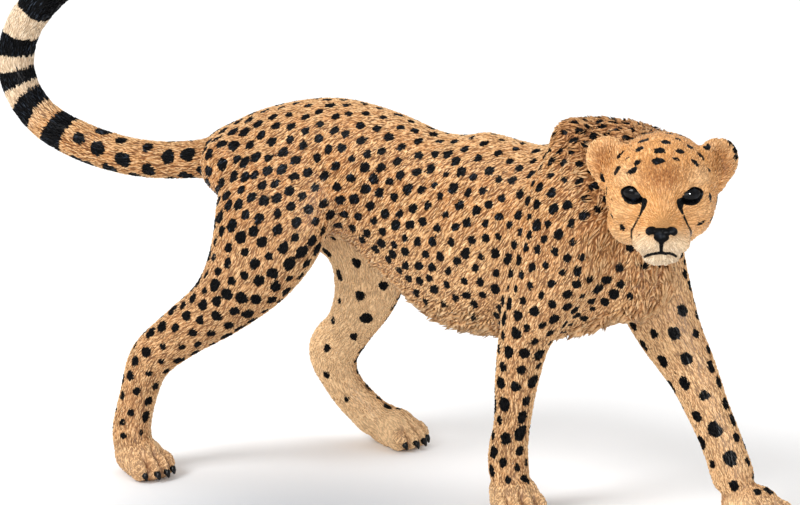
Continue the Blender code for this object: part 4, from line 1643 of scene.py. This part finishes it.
def rgba(red: float, green: float, blue: float) -> Colour:
    """A colour from the values that paint shows on a screen, each up to 255."""

    def light(level: float) -> float:
        """The light that a screen value stands for."""
        share = level / 255.0
        return share / 12.92 if share <= 0.04045 else ((share + 0.055) / 1.055) ** 2.4

    return (light(red), light(green), light(blue), 1.0)


@dataclass(frozen=True)
class CoatColours:
    """The paints of the coat."""

    # Dark wash and painted shade in the grooves.
    groove: Colour = rgba(98, 60, 32)
    tan: Colour = rgba(199, 148, 94)
    amber: Colour = rgba(190, 122, 62)
    honey: Colour = rgba(230, 166, 98)
    # The cream wash, and the painted highlight on raised fur.
    cream: Colour = rgba(244, 210, 164)
    white: Colour = rgba(218, 196, 166)
    # The painted highlight on raised white fur.
    bright: Colour = rgba(238, 226, 206)
    umber: Colour = rgba(134, 74, 26)
    black: Colour = rgba(6, 6, 7)
    # Slate on the black: dry brush and painted sheen.
    slate: Colour = rgba(76, 86, 100)


@dataclass(frozen=True)
class Brushwork:
    """How the coat's paints are laid on: the sizes of their clouds in metres, and their shares."""

    fine: float = 0.00028
    broad: float = 0.0022
    blot: float = 0.0008
    amber: float = 0.45
    honey: float = 0.7
    umber: float = 0.85
    # How much slate the black takes: partly dry brush, partly painted sheen.
    slate: float = 0.7
    uneven: float = 0.45  # how much brighter or darker a stroke can be than the next
    # Shares of dry brush and painted highlight on raised fur, and how much of it stays where umber is painted.
    lit: Pair = (0.76, 0.52)  # on the body, then on the head
    lit_umber: float = 0.4
    # Shares of dark wash and painted shade in the grooves.
    groove: Pair = (0.68, 0.25)  # on dark ground, then on pale
    ragged: float = 0.45
    ragged_line: float = 0.05
    ragged_stroke: float = 0.06
    spot_edge: Pair = (0.045, -0.055)
    line_edge: Pair = (0.03, -0.03)
    # Heights above the floor in metres over which the painted slate sheen grows stronger.
    dusted_height: Pair = (0.024, 0.034)


def coat_paint_group(colours: CoatColours, brush: Brushwork) -> bpy.types.NodeTree:
    """The group that mixes the coat's paints from what each mesh keeps: washes, painted highlight and shade on
    the fur's relief, spots and lines.
    """
    tree = bpy.data.node_groups.new("coat_paint", "ShaderNodeTree")
    for way, key, kind in (
        ("INPUT", "Ground", "Color"),
        ("INPUT", "Ridge", "Float"),
        ("OUTPUT", "Color", "Color"),
        ("OUTPUT", "Ink", "Float"),
    ):
        tree.interface.new_socket(name=key, in_out=way, socket_type="NodeSocket" + kind)
    make = Nodes(tree)
    given = tree.nodes.new("NodeGroupInput")
    place = make.place()
    fine = make.grain(place, brush.fine)
    broad = make.grain(place, brush.broad, 3.0)
    shade, honey, white, umber = (make.kept(name) for name in ("shade", "honey", "white", "umber"))

    # The ground, and the washes over it.
    warm = make.times(make.ramp(broad, 0.38, 0.66), brush.amber)
    colour = make.mix(warm, given.outputs["Ground"], colours.amber)
    colour = make.mix(make.times(honey, brush.honey), colour, colours.honey)
    wash = make.times(make.kept("cream"), make.blend(broad, 0.6, 1.0))
    colour = make.mix(wash, colour, colours.cream)
    dark = make.times(umber, make.ramp(fine, 0.3, 0.68, 0.45, 1.0))
    colour = make.mix(make.times(dark, brush.umber), colour, colours.umber)
    colour = make.mix(white, colour, colours.white)

    # Dry brush and painted highlight on what is raised, and dark wash and painted shade in the grooves
    # between.
    lightness = make.math("MULTIPLY_ADD", shade, brush.uneven, given.outputs["Ridge"])
    raised = make.mix(white, colours.cream, colours.bright)
    lit = make.times(make.ramp(lightness, 0.35, 1.15), make.blend(honey, *brush.lit))
    colour = make.mix(make.times(lit, make.blend(umber, 1.0, brush.lit_umber)), colour, raised)
    pale = make.math("MAXIMUM", make.times(honey, brush.honey), make.math("MAXIMUM", white, wash))
    sunk = make.times(make.ramp(lightness, 0.5, -0.1), make.blend(pale, *brush.groove))
    colour = make.mix(sunk, colour, colours.groove)

    # The black marks with ragged edges; the slate on their raised fur is partly dry brush and partly painted
    # sheen, stronger higher up the body.
    ragged = make.stirred(make.kept("spot"), make.grain(place, brush.blot, 1.0), brush.ragged)
    ragged = make.stirred(ragged, fine, brush.ragged)
    spot = make.ramp(make.math("MULTIPLY_ADD", shade, brush.ragged_stroke, ragged), *brush.spot_edge)
    line = make.ramp(make.stirred(make.kept("line"), fine, brush.ragged_line), *brush.line_edge)
    high = make.ramp(make.add("SeparateXYZ", None, Vector=place).outputs["Z"], *brush.dusted_height, 0.2, 1.0)
    dust_and_sheen = make.times(make.ramp(broad, 0.4, 0.6, 0.1, 0.9), high)
    brush_and_sheen = make.times(make.ramp(lightness, 0.6, 1.3), dust_and_sheen)
    ink = make.mix(make.times(brush_and_sheen, brush.slate), colours.black, colours.slate)
    colour = make.mix(line, make.mix(spot, colour, ink), colours.black)
    sink = tree.nodes.new("NodeGroupOutput")
    make.feed(sink, Color=colour, Ink=make.math("MAXIMUM", spot, line))
    return tree


class Surface(Enum):
    """The two surfaces that share the coat's paint."""

    SKIN = "skin_paint"
    STROKES = "stroke_paint"


@dataclass
class CoatPaint:
    """The matt paint of the coat, dry-brushed, with painted highlight on raised fur and painted shade in its
    grooves.
    """

    colours: CoatColours = field(default_factory=CoatColours)
    roughness: Pair = (0.5, 0.36)  # of the washes, then of the black
    shine: Pair = (0.16, 0.06)
    grain_size: float = 0.00016
    grain_depth: float = 0.00003
    hair_depth: float = 0.00012
    hair_width: float = 0.00026
    limb_hair_width: float = 0.00022
    hair_stretch: float = 0.22  # a hair's width over its length
    # How far the hair is turned down, and the slopes between which each turn takes over.
    turns: Rows = ((0.0, 0.0, 0.0), (0.5, 0.1, 0.5), (0.9, 0.6, 0.95))

    def __post_init__(self) -> None:
        """Makes the group that both surfaces use."""
        self.group = coat_paint_group(self.colours, Brushwork())

    def material(self, surface: Surface) -> bpy.types.Material:
        """The material of the skin or of the strokes on it."""
        made, make, paint = new_material(surface.value)
        place = make.place()
        if surface is Surface.SKIN:
            height = self.engraving(make, place)
            # Dark wash and painted shade where the engraving is low; through the ridge, dry brush and painted
            # highlight where it is high.
            ground: Value = make.mix(make.ramp(height, 0.35, 0.62), self.colours.groove, self.colours.tan)
            ridge = make.ramp(height, 0.4, 0.75, -0.2, 1.0)
            depth = self.hair_depth
        else:
            height = make.grain(place, self.grain_size, 1.0)
            ground, ridge, depth = self.colours.tan, make.kept("rise"), self.grain_depth
        painted = make.add("Group", {"node_tree": self.group}, Ground=ground, Ridge=ridge)
        bump = make.add("Bump", None, Strength=1.0, Distance=depth, Height=height)
        make.feed(
            paint,
            Base_Color=painted.outputs["Color"],
            Roughness=make.blend(painted.outputs["Ink"], *self.roughness),
            Specular_IOR_Level=make.blend(painted.outputs["Ink"], *self.shine),
            Normal=bump.outputs[0],
        )
        return made

    def engraving(self, make: Nodes, place: Socket) -> Socket:
        """The height of the engraved hair, drawn out along the coat's lie."""
        slope = make.kept("slope")
        about_y = {"rotation_type": "Y_AXIS"}
        trunk: Socket | None = None
        for turn, low, high in self.turns:
            turned = make.add("VectorRotate", about_y, Vector=place, Angle=turn).outputs[0]
            drawn = make.stretched(turned, (self.hair_stretch, 1.0, 1.0))
            found = make.grain(drawn, self.hair_width, 1.5)
            trunk = found if trunk is None else make.blend(make.ramp(slope, low, high), trunk, found)
        drawn = make.stretched(make.kept("limb_places", "Vector"), (self.hair_stretch * MM, MM, MM))
        return make.blend(make.kept("limb_share"), trunk, make.grain(drawn, self.limb_hair_width, 1.5))


@dataclass(frozen=True)
class Gloss:
    """A glossy black paint, with a faint slate sheen painted into its colour in soft clouds."""

    name: str
    roughness: float
    shine: float = 0.16
    uneven: float = 0.08
    cloud_size: float = 0.0009
    grain_size: float = 0.0004
    grain_depth: float = 0.00003
    black: Colour = rgba(4, 4, 5)
    slate: Colour = rgba(52, 60, 72)

    def material(self) -> bpy.types.Material:
        """The paint's material."""
        made, make, paint = new_material(self.name)
        place = make.place()
        cloud = make.grain(place, self.cloud_size)
        grain = make.grain(place, self.grain_size, 1.0)
        make.feed(
            paint,
            # Painted sheen: slate mixed into the black in clouds.
            Base_Color=make.mix(make.ramp(cloud, 0.5, 0.72, 0.0, 0.3), self.black, self.slate),
            Roughness=make.ramp(cloud, 0.3, 0.7, self.roughness, self.roughness + self.uneven),
            Normal=make.add("Bump", None, Strength=0.4, Distance=self.grain_depth, Height=grain).outputs[0],
            Specular_IOR_Level=self.shine,
        )
        return made


def build_eye(name: str, side: float) -> bpy.types.Object:
    """One eye, set into its socket."""
    shape = bmesh.new()
    axes = HEAD.eye_axes(side) @ Matrix.Diagonal((*HEAD.eye_half, 1.0))
    bmesh.ops.create_uvsphere(shape, u_segments=64, v_segments=40, radius=1.0, matrix=axes)
    made = new_object(name, shape)
    made.data.shade_smooth()
    return made


@dataclass(frozen=True)
class NosePad:
    """The nose: two rounded lobes that narrow to a point below, with a nostril in each."""

    lobes: tuple[Rounding, ...] = (
        Rounding((0.42, 0.0, 0.1), (0.55, 1.1, 0.5)),
        Rounding((0.12, 0.98, 0.12), (0.6, 0.7, 0.52)),
        Rounding((0.52, 0.0, -0.36), (0.5, 0.82, 0.58)),
        Rounding((0.4, 0.0, -0.85), (0.42, 0.32, 0.45)),
    )
    nostril: Dent = Dent((0.6, 1.0, -0.22), (0.6, 0.3, 0.14), (-0.3, 0.0, 0.0))
    parting: Dent = Dent((0.8, 0.0, 0.3), (0.6, 0.14, 0.5), (-0.08, 0.0, -0.06))
    voxel: float = 0.07
    easing: int = 6

    def build(self) -> bpy.types.Object:
        """Fuses the lobes and presses the nostrils in."""
        axes = HEAD.axes() @ Matrix.Translation(HEAD.nose)
        shape = bmesh.new()
        for side in SIDES:
            for lobe in self.lobes:
                lobe.add_to(shape, axes, side)
        made = new_object("nose_pad", shape)
        fuse(made, self.voxel, self.easing)
        points = read_vectors(made.data.vertices, "co")
        for side in SIDES:
            self.nostril.press(points, axes, side)
        self.parting.press(points, axes)
        write_places(made.data, points)
        made.data.shade_smooth()
        return made


# How far along and above its middle each ring of a claw is, and its radius.
CLAW_RINGS: Rows = (
    (-0.5, 0.05, 0.32),
    (-0.1, 0.06, 0.33),
    (0.1, 0.0, 0.31),
    (0.22, -0.14, 0.27),
    (0.26, -0.32, 0.19),
)


def build_claws(sides: int = 12, height: float = 1.3) -> bpy.types.Object:
    """The sixteen claws, one curved cone at the end of each toe.

    Args:
        sides: The corners of a claw's rings.
        height: How high a claw is for its width.

    Returns:
        The new object.
    """
    shape = bmesh.new()
    angles = [2 * math.pi * turn / sides for turn in range(sides)]
    circle = [Vector((0.0, math.cos(angle), height * math.sin(angle))) for angle in angles]
    for leg in LEGS:
        axes = leg.paw_axes()
        for ahead, left, up in PAW.toes():
            rings = []
            for along, rise, radius in CLAW_RINGS:
                middle = Vector((ahead + PAW.claw_reach + along, left, up + PAW.claw_lift + rise))
                rings.append([shape.verts.new(axes @ (middle + place * radius)) for place in circle])
            join_rings(shape, rings)
    made = new_object("claws", shape)
    made.data.shade_smooth()
    return made


@dataclass(frozen=True)
class Lamp:
    """A soft square light: its place and side in metres, and its power in watts."""

    name: str
    place: Place
    side: float
    power: float
    glints_only: bool = False


@dataclass(frozen=True)
class Stage:
    """The pale floor with a painted shadow under the figure, the soft lights and the camera."""

    floor_side: float = 6.0
    floor_paint: Colour = rgba(250, 250, 250)
    # The painted shadow under the figure: its colour, the place where it is darkest, and the distances in
    # metres at which it fades out and is full.
    floor_shade: Colour = rgba(176, 180, 185)
    pool: Place = (0.003, -0.022, 0.0)
    pool_reach: Pair = (0.044, 0.0)
    target: Place = (0.0, 7.4, 25.0)
    azimuth: float = 28.0
    elevation: float = 14.0
    distance: float = 0.4
    lens: float = 156.6
    sky: float = 0.78
    lit_point: Place = (0.0, 0.0, 0.025)
    lamps: tuple[Lamp, ...] = (
        Lamp("key", (-0.3, -0.55, 0.6), 0.3, 4.8),
        Lamp("top", (0.05, 0.1, 0.9), 0.5, 1.0),
        Lamp("fill", (0.35, -0.75, 0.16), 0.5, 2.6),
        Lamp("spark", (0.363, -0.294, 0.18), 0.07, 4.0, glints_only=True),
    )

    def build(self) -> None:
        """Sets everything up around the figure."""
        self.floor()
        self.lights()
        self.camera()

    def floor(self) -> bpy.types.Object:
        """The floor, with its material, which paints a soft shadow under the figure."""
        shape = bmesh.new()
        bmesh.ops.create_grid(shape, x_segments=1, y_segments=1, size=self.floor_side / 2)
        made = new_object("floor", shape)
        paper, make, paint = new_material("paper")
        place = make.place()
        # Painted shadow: the floor darkens towards the middle of the shadow under the figure.
        away = make.add("VectorMath", {"operation": "DISTANCE"}, _0=place, _1=self.pool).outputs["Value"]
        colour = make.mix(make.ramp(away, *self.pool_reach), self.floor_paint, self.floor_shade)
        make.feed(paint, Base_Color=colour, Roughness=0.9, Specular_IOR_Level=0.1)
        made.data.materials.append(paper)
        return made

    def lights(self) -> None:
        """Large soft lights above and beside the figure, and a white sky."""
        world = bpy.data.worlds.new("studio")
        world.use_nodes = True
        sky = world.node_tree.nodes["Background"]
        Nodes(world.node_tree).feed(sky, Color=(1.0, 1.0, 1.0, 1.0), Strength=self.sky)
        bpy.context.scene.world = world
        for lamp in self.lamps:
            light = bpy.data.lights.new(lamp.name, "AREA")
            light.shape = "SQUARE"
            light.size = lamp.side
            light.energy = lamp.power
            made = linked(lamp.name, light)
            made.visible_diffuse = not lamp.glints_only
            self.aim(made, Vector(lamp.place), Vector(self.lit_point) - Vector(lamp.place))

    @staticmethod
    def aim(thing: bpy.types.Object, place: Vector, way: Vector) -> None:
        """Puts a light or a camera at a place, looking a given way."""
        thing.location = place
        thing.rotation_euler = way.to_track_quat("-Z", "Y").to_euler()

    def camera(self) -> None:
        """A camera that looks at the figure from its front right."""
        lens = bpy.data.cameras.new("camera")
        lens.lens = self.lens
        lens.sensor_width = 36.0
        lens.clip_start = 0.01
        lens.clip_end = 20.0
        made = linked("camera", lens)
        turn, rise = math.radians(self.azimuth), math.radians(self.elevation)
        back = Vector((math.sin(turn) * math.cos(rise), -math.cos(turn) * math.cos(rise), math.sin(rise)))
        self.aim(made, Vector((np.array(self.target) - SHIFT) * MM) + back * self.distance, -back)
        bpy.context.scene.camera = made


def attach(
    piece: bpy.types.Object,
    paint: bpy.types.Material,
    replaced: tuple[str, ...] = (),
) -> None:
    """Moves a piece into the frame, paints it, fixes it to the figure and hides the solids it stands for.

    Args:
        piece: The piece, in millimetres of the body.
        paint: Its material.
        replaced: The solids that it replaces.
    """
    set_in_frame(piece)
    piece.data.materials.clear()
    piece.data.materials.append(paint)
    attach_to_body(piece, "root")
    if replaced:
        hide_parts(*replaced)
    LOG.info("%s: %d faces", piece.name, len(piece.data.polygons))


FLESH = (
    "trunk",
    "neck",
    "head",
    "ear_left",
    "ear_right",
    "tail_base",
    "tail_middle",
    "tail_tip",
    *(f"{leg.name}_{part}" for leg in LEGS for part in ("upper", "lower", "paw")),
)


def main() -> None:
    """Builds the figure and its stage."""
    logging.basicConfig(level=logging.INFO, format="%(name)s %(message)s")
    bpy.context.scene.view_settings.view_transform = "Standard"
    chance = np.random.default_rng(SEED)
    skin = Skin()
    skin_piece = skin.build()
    markings = Markings.scatter(skin.lay, chance)
    LOG.info("markings: %d spots", len(markings.spots))
    skin.keep(skin_piece, markings)
    paint = CoatPaint()
    for layer in Coat(skin, markings, chance).build():
        attach(layer, paint.material(Surface.STROKES))
    attach(skin_piece, paint.material(Surface.SKIN), FLESH)
    eye_paint = Gloss("eye_paint", 0.06).material()
    for name, side in (("eye_left", 1.0), ("eye_right", -1.0)):
        attach(build_eye(f"{name}_bead", side), eye_paint, (name,))
    attach(NosePad().build(), Gloss("nose_paint", 0.4, 0.05).material(), ("nose",))
    attach(build_claws(), Gloss("claw_paint", 0.3).material())
    Stage().build()


if __name__ == "__main__":
    main()
